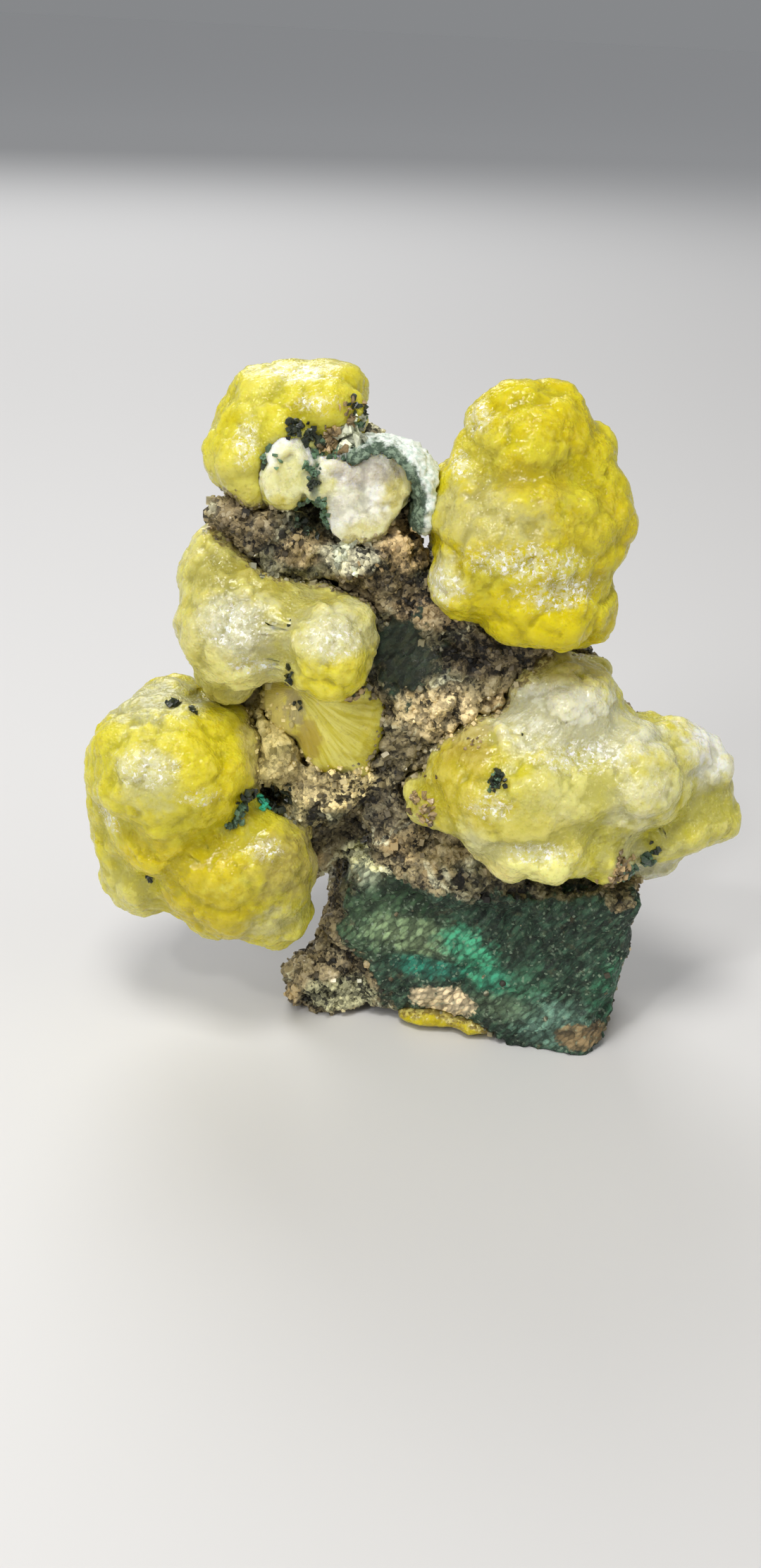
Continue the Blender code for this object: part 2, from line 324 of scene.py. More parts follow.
def fill_creases(piece, voxel, fill):
    """Swells the piece by fill mm and shrinks it again, so that narrow creases close."""
    for label, reach in (("swelling", fill), ("shrinking", -fill)):
        push = piece.modifiers.new(label, "DISPLACE")
        push.mid_level = 0.0
        push.strength = reach * MM
        if reach > 0:
            add_voxels(piece, "joining", SWOLLEN_VOXEL * voxel)
        add_rounding(piece, "evening", EVENING_ROUNDS)


def fine_copy(name, node, voxel, rounds, fill=0.0):
    """A remeshed, smoothed copy of a solid, with its modifiers still live."""
    work = bmesh.new()
    work.from_mesh(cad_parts[node].data)
    bmesh.ops.remove_doubles(work, verts=work.verts, dist=MERGE_REACH)
    mesh = bpy.data.meshes.new(name)
    work.to_mesh(mesh)
    work.free()
    mesh.materials.clear()
    piece = new_piece(name, mesh)
    add_voxels(piece, "voxels", voxel)
    add_rounding(piece, "rounding", rounds)
    if fill:
        fill_creases(piece, voxel, fill)
    return piece


# %% [markdown]
# The skins swell a little, to close the hairline gaps that the solids keep between them.
# The whole object must not grow, though. So near each side of its box a point is pressed
# back softly, and it never passes the side. At the floor it simply stops.
# %% Keeping to the box
EDGE_SOFTNESS = 1.2 * MM


def keep_to_box(mesh):
    """Presses the points softly back inside the box of the solids."""
    found = points_of(mesh)
    low, high = (np.array(corner) for corner in CAD_BOX)
    for axis in range(3):
        for side, sign in ((high[axis], 1.0), (low[axis], -1.0)):
            if axis == 2 and sign < 0:
                found[:, 2] = np.maximum(found[:, 2], low[2])
                continue
            over = sign * (found[:, axis] - side) + EDGE_SOFTNESS
            past = over > 0
            pressed = EDGE_SOFTNESS * (1 - np.exp(-over[past] / EDGE_SOFTNESS))
            found[past, axis] = side - sign * (EDGE_SOFTNESS - pressed)
    mesh.vertices.foreach_set("co", found.ravel())
    mesh.update()


# %% [markdown]
# ## Paint by place
# Natural colour drifts: a lump is golden at its heart, nearly white where it is thin,
# and stained where it touches the rock. We paint such drifts as soft ellipsoids. Each
# has a centre and three half-widths in millimetres, and a noise frays its edge. The
# pattern reads Object coordinates, so it stays on the piece from every side.
# %% Paint helpers
def new_material(name):
    material = bpy.data.materials.new(name)
    material.use_nodes = True
    tree = material.node_tree
    shader = tree.nodes["Principled BSDF"]
    where = tree.nodes.new("ShaderNodeTexCoord").outputs["Object"]
    return material, tree, shader, where


def set_sockets(shader, values):
    """What is the same all over a surface goes on the shader's own sockets."""
    for name, value in values.items():
        shader.inputs[name].default_value = value


def add_bump(tree, shader, height, depth, strength):
    """Relief too fine for the mesh; depth in mm."""
    bump = wire(tree, "ShaderNodeBump", {"Height": height, "Strength": strength, "Distance": depth * MM})
    tree.links.new(bump.outputs[0], shader.inputs["Normal"])
    return bump.outputs[0]


def mix(tree, share, first, second):
    """Mixes two colours; each is three numbers or another node's output."""
    def colour(value):
        return value if isinstance(value, bpy.types.NodeSocket) else (*value, 1.0)
    values = {0: share, 6: colour(first), 7: colour(second)}
    return wire(tree, "ShaderNodeMix", values, data_type="RGBA").outputs[2]


def drift(tree, where, fray, centre, half, edge=0.45):
    """1 inside a soft ellipsoid, 0 outside, with a frayed edge; centre and half in mm."""
    apart = vector_maths(tree, "SUBTRACT", where, Vector(centre) * MM)
    apart = vector_maths(tree, "DIVIDE", apart, Vector(half) * MM)
    away = plus(tree, length_of(tree, apart), fray)
    return smooth_step(tree, away, 1 + edge, 1 - edge)


def paint_drifts(tree, where, colour, drifts, fray_size, fray_depth, edge=0.45, through=None):
    """Lays drifts of (centre, half-widths, colour, strength) over the colour; none shows where through is 0."""
    fray = times(tree, about_zero(tree, noise(tree, where, fray_size, 4.0, 0.6)), fray_depth)
    for centre, half, tint, strength in drifts:
        share = times(tree, drift(tree, where, fray, centre, half, edge), strength)
        if through is not None:
            share = times(tree, share, through)
        colour = mix(tree, share, colour, tint)
    return colour


# %% [markdown]
# ## Brucite's colours
# Brucite runs from gold through lemon to nearly white within a few millimetres. The
# tones are named once, so that every lump draws on one family. They already hold the
# whole yellow, because light scattered under the surface is left behind when a model
# is exported.
# %% Brucite palette
LEMON = (0.64, 0.575, 0.040)
GOLD = (0.60, 0.51, 0.008)
DEEP_GOLD = (0.60, 0.475, 0.002)
PALE = (0.63, 0.585, 0.15)
CREAM = (0.67, 0.64, 0.31)
WHITE = (0.65, 0.64, 0.47)
OCHRE = (0.36, 0.25, 0.05)
SANDY = (0.56, 0.48, 0.16)
SANDY_SHADE = (0.16, 0.11, 0.045)
# Painted highlights: a whitish painted sheen and bright painted glints.
PAINTED_SHEEN = (0.82, 0.81, 0.64)
PAINTED_GLINT = (0.95, 0.94, 0.87)
print("brucite runs from", DEEP_GOLD, "to", WHITE)

# %% [markdown]
# The body colour comes in layers, broad ones first: regions of a centimetre, clouds of
# half that, and a thin light veil. Each drift is then laid on its own place.
# %% Body colour
REGION_SIZE = 11 * MM
CLOUD_SIZE = 6 * MM
VEIL_SIZE = 3.2 * MM


def body_colour(tree, where, body, deep, light):
    """Clouds of the deep tone, light and deep regions, and a light veil."""
    cloud = noise(tree, where, CLOUD_SIZE, 4.0, 0.6, 0.5)
    colour = mix(tree, smooth_step(tree, cloud, 0.42, 0.66), body, deep)
    region = noise(tree, where, REGION_SIZE, 3.0, 0.55)
    colour = mix(tree, smooth_step(tree, region, 0.50, 0.62, 0.0, 0.75), colour, light)
    colour = mix(tree, smooth_step(tree, region, 0.44, 0.34, 0.0, 0.60), colour, deep)
    veil = smooth_step(tree, noise(tree, where, VEIL_SIZE, 6.0, 0.7, 1.2), 0.52, 0.74, 0.0, 0.5)
    return mix(tree, veil, colour, light)


# %% [markdown]
# Wax looks lighter on a knob and darker in a hollow, because light goes into it and
# scatters, and because shade falls in the hollows. Scattering alone is lost when a model is
# exported, so the finish paints some of this in, as painted light on the knobs and painted
# shade in the hollows and between the knobs. It reads how deep each point lies from the
# piece's own attribute, hollow.
# %% Painted shade and light by relief
SUGAR_SIZE = 0.95 * MM
KNOB_SIZE = 2.2 * MM


def relief_shade_and_mottle(tree, where, colour, deep, light):
    """Painted shade in hollows and between knobs, painted light on what stands out, and sugary mottles all over.
    """
    hollow = stored(tree, "hollow")
    shade_and_mottle_dark = mix(tree, 0.25, scaled(tree, colour, 0.70), deep)
    light_and_mottle_pale = mix(tree, 0.35, scaled(tree, colour, 1.22), light)
    # Painted shade in the hollows, and painted light on the knobs below.
    colour = mix(tree, smooth_step(tree, hollow, 0.55, 0.90, 0.0, 0.80), colour, shade_and_mottle_dark)
    colour = mix(tree, smooth_step(tree, hollow, 0.42, 0.10, 0.0, 0.45), colour, light_and_mottle_pale)
    # Sugary mottles, lighter and darker at random.
    sugar = noise(tree, where, SUGAR_SIZE, 4.0, 0.75)
    colour = mix(tree, smooth_step(tree, sugar, 0.53, 0.68, 0.0, 0.65), colour, light_and_mottle_pale)
    colour = mix(tree, smooth_step(tree, sugar, 0.47, 0.33, 0.0, 0.60), colour, shade_and_mottle_dark)
    # Painted shade between the knobs.
    between = cells(tree, where, KNOB_SIZE, "SMOOTH_F1", Smoothness=0.3).outputs["Distance"]
    return mix(tree, smooth_step(tree, between, 0.50, 0.85, 0.0, 0.30), colour, shade_and_mottle_dark)


# %% [markdown]
# Where the lumps face the light, a painted highlight is laid on: a whitish painted sheen,
# with clusters of bright painted glints in it. Both are drifts seen through a fine noise,
# and the glints reach a little past the sheen.
# %% Painted sheen and glints
PAINTED_SHEEN_SHARE = 0.52
PAINTED_SHEEN_SPOT = 0.75 * MM
PAINTED_GLINT_SPOT = 0.80 * MM
PAINTED_GLINT_SPREAD = 1.25
SPOT_FRAY = (1.6 * MM, 1.4)


def painted_sheen_and_glints(tree, where, colour, highlighted):
    """Painted highlights, a whitish sheen and glints; highlighted lists (centre, half-widths) in mm."""
    spotted = smooth_step(tree, noise(tree, where, PAINTED_SHEEN_SPOT, 3.0, 0.7), 0.40, 0.58)
    sheen_drifts = [(centre, half, PAINTED_SHEEN, PAINTED_SHEEN_SHARE) for centre, half in highlighted]
    colour = paint_drifts(tree, where, colour, sheen_drifts, *SPOT_FRAY, through=spotted)
    glinting = smooth_step(tree, noise(tree, where, PAINTED_GLINT_SPOT, 3.0, 0.65, 0.4), 0.545, 0.625)
    glints = [(centre, tuple(PAINTED_GLINT_SPREAD * reach for reach in half), PAINTED_GLINT, 1.0) for centre, half in highlighted]
    return paint_drifts(tree, where, colour, glints, *SPOT_FRAY, through=glinting)


# %% [markdown]
# Close to the rock the wax is stained by sandy and rusty grains. How near the rock is,
# the finish reads from another attribute, by_rock. It is measured further down, once
# the rock is made.
# %% Contact stain
STAIN_FRAY = 1.6 * MM
STAIN_GRAIN = 0.55 * MM


def contact_stain(tree, where, colour):
    """Sandy grains on the brucite close to the rock."""
    ragged = about_zero(tree, noise(tree, where, STAIN_FRAY, 4.0, 0.7))
    near = add_some(tree, ragged, 1.3, stored(tree, "by_rock"))
    speck = cell_tone(tree, cells(tree, where, STAIN_GRAIN))
    grain = mix(tree, smooth_step(tree, speck, 0.2, 0.9), SANDY_SHADE, SANDY)
    return mix(tree, smooth_step(tree, near, 0.42, 0.75, 0.0, 0.85), colour, grain)


# %% [markdown]
# ## Brucite's finish
# Brucite looks like set honey: light goes a few millimetres in and comes out warm, and
# the outside is a crust of tiny beads that glint one by one. So the shader scatters
# light under the surface, a thin glossy coat lies on top, and the roughness jumps from
# bead to bead.
# %% Brucite material
WAX = {
    "Subsurface Weight": 0.75,
    "Subsurface Radius": (1.0, 0.80, 0.25),
    "Subsurface Scale": 3.0 * MM,
    "Specular IOR Level": 0.08,
    "Coat Weight": 0.60,
    "Coat Roughness": 0.10,
    "Sheen Weight": 0.03,
    "Sheen Roughness": 0.35,
    "Sheen Tint": (1.0, 0.97, 0.62, 1.0),
}
BODY_FRAY = (2.6 * MM, 2.0)
DULL_BEAD, BRIGHT_BEAD = 0.50, 0.16
PATCH_SIZE = 4 * MM


def sugar_height(tree, where, bead):
    """The crust of beads: domes from Voronoi cells, roughened by crumbs half as large."""
    beads = cells(tree, where, bead * MM, "SMOOTH_F1", Smoothness=0.25)
    crumbs = noise(tree, where, 0.5 * bead * MM, 2.0, 0.6)
    dome = smooth_step(tree, beads.outputs["Distance"], 0.8, 0.0)
    return add_some(tree, crumbs, 0.55, dome)


def brucite_material(name, tones, drifts, highlighted=(), gloss=WAX["Coat Weight"], bead=0.55, bead_depth=0.12):
    """Waxy mineral with its tones (body, deep, light), drifts, and highlighted places that get painted
    highlights; bead sizes in mm.
    """
    material, tree, shader, where = new_material(name)
    body, deep, light = tones
    colour = body_colour(tree, where, body, deep, light)
    colour = paint_drifts(tree, where, colour, drifts, *BODY_FRAY, edge=0.40)
    colour = relief_shade_and_mottle(tree, where, colour, deep, light)
    colour = painted_sheen_and_glints(tree, where, colour, highlighted)
    tree.links.new(contact_stain(tree, where, colour), shader.inputs["Base Color"])
    lit = cell_tone(tree, cells(tree, where, bead * MM))
    tree.links.new(smooth_step(tree, lit, 0.0, 1.0, DULL_BEAD, BRIGHT_BEAD), shader.inputs["Roughness"])
    patchy = smooth_step(tree, noise(tree, where, PATCH_SIZE, 2.0), 0.40, 0.60, 0.30, 1.0)
    beaded = add_bump(tree, shader, sugar_height(tree, where, bead), bead_depth, patchy)
    tree.links.new(beaded, shader.inputs["Coat Normal"])
    set_sockets(shader, {**WAX, "Coat Weight": gloss})
    return material


# %% [markdown]
# ## The waxy skin
# Botryoidal means like a bunch of grapes: domes on domes, at every size. The recipe
# lifts each point along its normal by four layers. Slow folds bend the surface, lobes
# of six millimetres stand on frayed cells, and domes and beads sit on them. A second
# noise makes some places knobbly and leaves others nearly smooth.
# %% Skin sizes
SKIN = {
    "Fold Size": 7.5 * MM, "Fold Height": 1.2 * MM,
    "Lobe Size": 6.5 * MM, "Lobe Height": 1.4 * MM,
    "Dome Size": 2.4 * MM, "Dome Height": 0.34 * MM,
    "Bead Size": 0.95 * MM, "Bead Height": 0.21 * MM,
    "Swell": 0.38 * MM,
}
print("skin layers in mm:", {label: round(value / MM, 2) for label, value in SKIN.items()})

# %% [markdown]
# Voronoi cells make good domes, but they meet in straight lines, as tiles do. So the
# large cells are read at places that a noise has shifted first. The swell at the end
# closes the hairline gap to the neighbours.
# %% Waxy skin recipe
LOBE_FRAY = (6 * MM, 5 * MM)
LOBE_MIDDLE = 0.55
DOME_RIM = 0.8
SOFT_VALLEY = 0.06
KNOBBLY_SIZE = 4.5 * MM
LEAST_KNOBBLY = 0.12


def fray_place(tree, where, size, depth):
    """Shifts places by a noise, so that a pattern read there loses its straight edges."""
    values = {"Vector": where, "Scale": 1 / size, "Detail": 3.0, "Roughness": 0.6}
    shift = wire(tree, "ShaderNodeTexNoise", values).outputs["Color"]
    shift = scaled(tree, vector_maths(tree, "SUBTRACT", shift, (0.5, 0.5, 0.5)), depth)
    return vector_maths(tree, "ADD", where, shift)


def dome_height(tree, where, size):
    """1 at the middle of each cell, falling to 0 as a dome does."""
    near = cells(tree, where, per_metre(tree, size), "SMOOTH_F1", Smoothness=SOFT_VALLEY).outputs["Distance"]
    fall = maths(tree, "POWER", maths(tree, "DIVIDE", near, DOME_RIM), 2.0)
    return maths(tree, "SUBTRACT", 1.0, fall, clamp=True)


def raise_skin(tree, geometry, rise):
    """Lifts every point along its own normal."""
    outward = tree.nodes.new("GeometryNodeInputNormal").outputs[0]
    values = {"Geometry": geometry, "Offset": scaled(tree, outward, rise)}
    return wire(tree, "GeometryNodeSetPosition", values).outputs[0]


def knobs(tree, where, given, kind, share):
    """One layer of knobs, as high as its inputs say, and lower where the skin is smooth."""
    height = about_zero(tree, dome_height(tree, where, given[f"{kind} Size"]))
    return times(tree, times(tree, height, given[f"{kind} Height"]), share)


def waxy_skin_recipe():
    tree, given = new_recipe("waxy skin", **as_inputs(SKIN))
    where = tree.nodes.new("GeometryNodeInputPosition").outputs[0]
    fold = wire(tree, "ShaderNodeTexNoise", {
        "Vector": where, "Scale": per_metre(tree, given["Fold Size"]),
        "Detail": 2.5, "Roughness": 0.55, "Distortion": 0.4}).outputs[0]
    rise = times(tree, about_zero(tree, fold), times(tree, given["Fold Height"], 2.0))
    frayed = fray_place(tree, where, *LOBE_FRAY)
    lobe = about_zero(tree, dome_height(tree, frayed, given["Lobe Size"]), LOBE_MIDDLE)
    rise = add_some(tree, lobe, given["Lobe Height"], rise)
    knobbly = smooth_step(tree, noise(tree, where, KNOBBLY_SIZE, 1.0), 0.38, 0.60, LEAST_KNOBBLY, 1.0)
    dome, bead = (knobs(tree, where, given, kind, knobbly) for kind in ("Dome", "Bead"))
    rise = plus(tree, plus(tree, rise, dome), plus(tree, bead, given["Swell"]))
    finish_recipe(tree, raise_skin(tree, given["Geometry"], rise), given["Material"])
    return tree


WAXY_SKIN = waxy_skin_recipe()
print("nodes in the waxy skin:", len(WAXY_SKIN.nodes))

# %% [markdown]
# The painted shade and light need to know where the hollows are. We smooth a copy of
# the points by moving each to the middle of its neighbours, many times over. A point that
# then lies below the smooth copy is in a hollow, and one above it is on a knob.
# %% Mark the hollows
HOLLOW_ROUNDS = 24
HOLLOW_DEPTH = 0.22 * MM


def mark_hollows(mesh):
    """Stores how far each point lies below its surroundings: 0.5 on the flat, 1 in a crease."""
    found = points_of(mesh)
    ends = np.empty(len(mesh.edges) * 2, np.int32)
    mesh.edges.foreach_get("vertices", ends)
    first, second = ends.reshape(-1, 2).T
    neighbours = np.maximum(np.bincount(ends, minlength=len(found)), 1)
    smooth = found.copy()
    for _ in range(HOLLOW_ROUNDS):
        for axis in range(3):
            total = np.bincount(first, smooth[second, axis], len(found))
            total = total + np.bincount(second, smooth[first, axis], len(found))
            smooth[:, axis] = total / neighbours
    below = ((smooth - found) * normals_of(mesh)).sum(axis=1)
    store(mesh, "hollow", np.clip(0.5 + below / (2 * HOLLOW_DEPTH), 0, 1))


# %% [markdown]
# ## Growing a skin
# Every lump is grown in the same way: a fine copy of its solid, the recipe, and its own
# finish. The helper also hides the solid that the skin stands for.
# %% Growing one lump
LUMP_VOXEL = 0.36
LUMP_ROUNDS = 20
lumps = []


def grow(
    name, node, material, slot_name,
    rounds=LUMP_ROUNDS, recipe=WAXY_SKIN, voxel=LUMP_VOXEL, fill=0.0, **changes,
):
    """A lump's visible skin, which stands for its solid; changes alter the skin's sizes."""
    piece = fine_copy(name, node, voxel, rounds, fill)
    follow_recipe(piece, recipe, **{**SKIN, **changes, "Material": material})
    settle(piece)
    keep_to_box(piece.data)
    mark_hollows(piece.data)
    piece.data.shade_smooth()
    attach(piece, "root")
    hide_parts(node)
    print(name, triangles_of(piece.data), "triangles")
    return piece


# %% [markdown]
# ## The lumps, one by one
# From here each lump gets its own cell: a table of colour drifts, the places of painted
# highlights, and then the skin. Places and half-widths are in millimetres in the frame's own
# axes, and so is fill, which is how far the copy swells to round its creases.
#
# The dome at the top left is lemon with golden clouds. Its upper rim is thin, so it is
# palest there, and a painted highlight sits on the crown.
# %% Top-left dome
TOP_LEFT_DRIFTS = [
    ((-32, -9, 101), (6, 7, 4), PALE, 0.6),
    ((-22, -8, 104), (5, 5, 4), CREAM, 0.6),
    ((-29, -8, 96), (6, 6, 3), (0.60, 0.52, 0.16), 0.7),
    ((-24, 6, 117), (10, 9, 4), PALE, 0.4),
]
TOP_LEFT_HIGHLIGHTS = [
    ((-19, -6, 113.5), (3, 4, 1.4)), ((-30, -9, 107), (1.6, 4, 3)), ((-23, -3, 117), (5, 4, 1.2)),
]
top_left_wax = brucite_material(
    "lemon_wax", (LEMON, GOLD, (0.70, 0.65, 0.13)), TOP_LEFT_DRIFTS, TOP_LEFT_HIGHLIGHTS)
lumps.append(grow("top_left_lump", "brucite_top_left", top_left_wax, "lemon_brucite", fill=1.5))

# %% [markdown]
# The large lump at the top right is the deepest gold, and brightest in its full lower
# belly. A greyer patch lies on its brow, and a band of painted highlight crosses its middle.
# %% Top-right lump
TOP_RIGHT_DRIFTS = [
    ((9, -14, 99.0), (11, 8, 5.0), (0.54, 0.49, 0.17), 1.0),
    ((23, -10, 97), (7, 8, 5), (0.58, 0.48, 0.02), 0.8),
    ((15, -12, 104), (5, 7, 3), (0.52, 0.40, 0.01), 0.7),
    ((2, -15, 88), (4, 5, 4), CREAM, 0.85),
    ((16, -16, 84), (13, 8, 5), (0.70, 0.58, 0.002), 0.95),
    ((7, -8, 108), (5, 6, 6), (0.56, 0.51, 0.09), 0.6),
    ((21, -8, 112), (6, 7, 5), DEEP_GOLD, 0.6),
]
TOP_RIGHT_HIGHLIGHTS = [
    ((14, -19, 93.0), (8, 5, 2.3)), ((20, -18, 88), (6, 5, 2.4)), ((2.5, -15, 87.5), (3.2, 4, 2.6)),
    ((3.5, -10, 105.5), (1.5, 4, 1.6)), ((6, -6, 112), (2, 4, 2)),
]
top_right_wax = brucite_material(
    "golden_wax", (GOLD, DEEP_GOLD, LEMON), TOP_RIGHT_DRIFTS, TOP_RIGHT_HIGHLIGHTS, gloss=0.55)
lumps.append(grow("top_right_lump", "brucite_top_right", top_right_wax, "golden_brucite", fill=2.5))

# %% [markdown]
# The middle lump has two lobes with a deep crease between them, so its copy is swollen
# the most. It is greenish white on top, clear lemon below, and olive in the shade.
# %% Middle-left lump
MIDDLE_LEFT_DRIFTS = [
    ((-31, -19, 80), (6.5, 6, 6), (0.55, 0.535, 0.34), 0.95),
    ((-34, -13, 87), (5, 5, 3.4), (0.38, 0.34, 0.07), 0.85),
    ((-35, -14, 75), (5, 7, 6), (0.72, 0.66, 0.20), 0.8),
    ((-28, -17, 70.5), (8, 8, 4.6), (0.93, 0.87, 0.33), 1.0),
    ((-13, -22, 73), (7.5, 6, 4.8), (0.78, 0.68, 0.030), 1.0),
    ((-15, -21, 80.5), (5, 5, 3.5), (0.62, 0.60, 0.36), 0.7),
    ((-24, -12, 87), (6, 5, 3), (0.42, 0.36, 0.05), 0.85),
    ((-27, 4, 75), (12, 6, 12), OCHRE, 0.35),
]
# Places of painted highlights: a whitish painted sheen with painted glints.
MIDDLE_LEFT_HIGHLIGHTS = [
    ((-31, -19, 80), (4.4, 5, 2.8)), ((-15, -21.5, 79.5), (4, 4, 2.4)),
    ((-28, -20, 73.5), (3, 4, 1.6)),
]
middle_left_wax = brucite_material(
    "pale_wax", (PALE, (0.56, 0.49, 0.10), CREAM), MIDDLE_LEFT_DRIFTS, MIDDLE_LEFT_HIGHLIGHTS)
lumps.append(grow("middle_left_lump", "brucite_middle_left", middle_left_wax, "pale_brucite", fill=5.0))

# %% [markdown]
# The lower-left lump is two full lobes, orange-gold in their bellies, with olive painted
# shade in the crease between them. The shoulder is lighter and carries a painted
# highlight, and sand clings to one side.
# %% Lower-left lump
LOWER_LEFT_DRIFTS = [
    ((-35, -19, 57), (8, 8, 6), (0.70, 0.60, 0.02), 0.9),
    ((-38, -17, 39), (13, 10, 6.0), (0.65, 0.52, 0.001), 1.0),
    ((-31, -19, 50), (5, 7, 6), (0.64, 0.53, 0.004), 0.95),
    ((-34, -21, 29), (10, 8, 7), (0.54, 0.43, 0.002), 0.97),
    ((-45, -10, 63), (9, 8, 4), (0.45, 0.44, 0.235), 0.9),
    ((-50, -14, 28), (6, 7, 6), PALE, 0.85),
    ((-44, -24, 55), (5, 5, 5), (0.60, 0.58, 0.28), 0.75),
    ((-22, -17, 37), (6.5, 7, 6), (0.40, 0.33, 0.075), 0.9),
    ((-24, -16, 27), (5, 6, 4), CREAM, 0.7),
    ((-27, -9, 56), (3.5, 9, 9), SANDY, 0.85),
    ((-16.5, -10, 36), (3, 5, 7), (0.54, 0.45, 0.16), 0.85),
]
LOWER_LEFT_HIGHLIGHTS = [
    ((-44, -23, 56.5), (4.4, 5, 2.4)), ((-36, -21, 52), (3, 4, 1.4)), ((-52, -17, 44), (2.4, 4, 2)),
    ((-25, -20, 41), (2.5, 4, 1.4)),
]
lower_left_wax = brucite_material(
    "lemon_wax_lower", (LEMON, GOLD, (0.70, 0.64, 0.11)), LOWER_LEFT_DRIFTS, LOWER_LEFT_HIGHLIGHTS)
lumps.append(grow("lower_left_lump", "brucite_lower_left", lower_left_wax, "lemon_brucite", fill=4.0))

# %% [markdown]
# The right lump is clear enough to look into: pale columns stand inside its middle, and
# we suggest them with nearly white drifts. Its far tip is the whitest of all.
# %% Right lump
RIGHT_DRIFTS = [
    ((22, -14, 66), (13, 9, 5.5), (0.69, 0.68, 0.52), 1.0),
    ((33, -13, 62), (8, 6, 5), (0.69, 0.68, 0.50), 0.95),
    ((35, -16, 53), (6, 7, 5), (0.70, 0.68, 0.44), 0.85),
    ((26, -21, 56), (6, 6, 5), (0.69, 0.65, 0.21), 0.85),
    ((19, -23, 47), (9, 8, 5), (0.68, 0.61, 0.12), 0.95),
    # Partly the lump's own pale yellow, partly painted light: the next two drifts are lightened to make up for
    # shade on the belly and bottom rim, which face down.
    ((18, -23, 42), (8, 8, 4), (0.93, 0.87, 0.30), 1.0),
    ((11, -19, 39), (6, 7, 3.4), (0.88, 0.78, 0.28), 1.0),
    ((7, -18, 54), (9, 8, 8), (0.56, 0.465, 0.03), 0.95),
    ((8, -15, 61), (5, 6, 4), OCHRE, 0.5),
    ((24, -6, 72), (12, 7, 3), (0.45, 0.37, 0.09), 0.7),
    ((49, -4, 57), (6, 8, 6), (0.80, 0.80, 0.72), 1.0),
    ((11, -21, 45), (4, 5, 3), CREAM, 0.8),
    ((52, -6, 48), (6, 8, 5), (0.50, 0.46, 0.10), 0.7),
    ((40, -8, 35), (7, 7, 4), WHITE, 0.9),
]
# Places of painted highlights: a whitish painted sheen with painted glints.
RIGHT_HIGHLIGHTS = [
    ((26, -18, 60.5), (7, 5, 1.8)), ((12, -22, 53), (3, 4, 2)), ((20, -24, 45), (5, 5, 1.6)),
    ((37, -15, 56), (4, 5, 2)),
]
right_wax = brucite_material("pale_wax_right", (PALE, LEMON, CREAM), RIGHT_DRIFTS, RIGHT_HIGHLIGHTS)
lumps.append(grow("right_lump", "brucite_right", right_wax, "pale_brucite", fill=4.0))

# %% [markdown]
# The broken lobe is fine-grained and dull inside its thin yellow edge, so it has little
# gloss, small beads and a low, flat skin.
#
# The break itself presses everything in front of an upright plane back onto it. On the
# left the break ran out, so most of the bulge is kept there.
# %% Broken lobe
BREAK_DEPTH = -11.3 * MM
BREAK_SIDE = -19.6 * MM
BULGE_KEPT = 0.65
BREAK_ROUGHNESS = 0.08


def break_flat(piece, depth):
    """Presses everything in front of an upright plane back onto it, as a break would."""
    found = points_of(piece.data)
    past = found[:, 1] < depth
    kept = np.where(found[past, 0] < BREAK_SIDE, BULGE_KEPT, BREAK_ROUGHNESS)
    found[past, 1] = depth - kept * (depth - found[past, 1])
    piece.data.vertices.foreach_set("co", found.ravel())
    piece.data.update()


BROKEN_DRIFTS = [
    ((-5.0, -9, 100), (3.4, 5, 7), (0.62, 0.55, 0.18), 1.0),
    ((-8.5, -10, 93), (6, 4, 3.0), (0.70, 0.645, 0.28), 0.95),
    ((-12, -9, 103.6), (6, 5, 2.2), (0.50, 0.45, 0.36), 0.85),
    ((-22.5, -11, 100), (6, 6, 6.5), (0.71, 0.685, 0.30), 1.0),
    # Partly dark green serpentine, partly painted shade: a thin dark line at the neck between the two lobes
    # stands in for a groove.
    ((-19.0, -11, 102.5), (0.8, 6, 4), (0.10, 0.14, 0.06), 0.9),
    ((-16.5, -11, 97), (2.6, 6, 2.4), (0.50, 0.48, 0.36), 0.7),
    ((-25.0, -11, 95.0), (7, 6, 4.6), (0.66, 0.58, 0.08), 1.0),
]
broken_wax = brucite_material(
    "broken_wax", ((0.93, 0.91, 0.77), (0.60, 0.58, 0.42), (0.92, 0.91, 0.82)),
    BROKEN_DRIFTS, gloss=0.2, bead=0.4, bead_depth=0.08)
BROKEN_SKIN = {
    "Fold Size": 3.2 * MM, "Lobe Height": 0.5 * MM, "Dome Height": 0.14 * MM,
    "Fold Height": 1.0 * MM, "Bead Height": 0.06 * MM,
}
lumps.append(grow(
    "broken_lobe_lump", "brucite_broken_lobe", broken_wax, "broken_brucite", rounds=3, voxel=0.32, **BROKEN_SKIN))
break_flat(lumps[-1], BREAK_DEPTH)

# %% [markdown]
# A little brucite also lines the hollow under the foot. It lies in shadow, so it gets a
# plain gold, painted dark as painted shade.
# %% Under the foot
# Painted shade: the gold is darkened because this lump lies in shadow.
underside_shade_wax = brucite_material(
    "shaded_golden_wax_under", ((0.42, 0.33, 0.02), (0.30, 0.22, 0.01), GOLD), [])
UNDERSIDE_SKIN = {"Swell": 0.1 * MM, "Fold Height": 0.1 * MM, "Lobe Height": 0.2 * MM}
lumps.append(grow(
    "underside_lump", "brucite_underside", underside_shade_wax, "golden_brucite", rounds=6, **UNDERSIDE_SKIN))

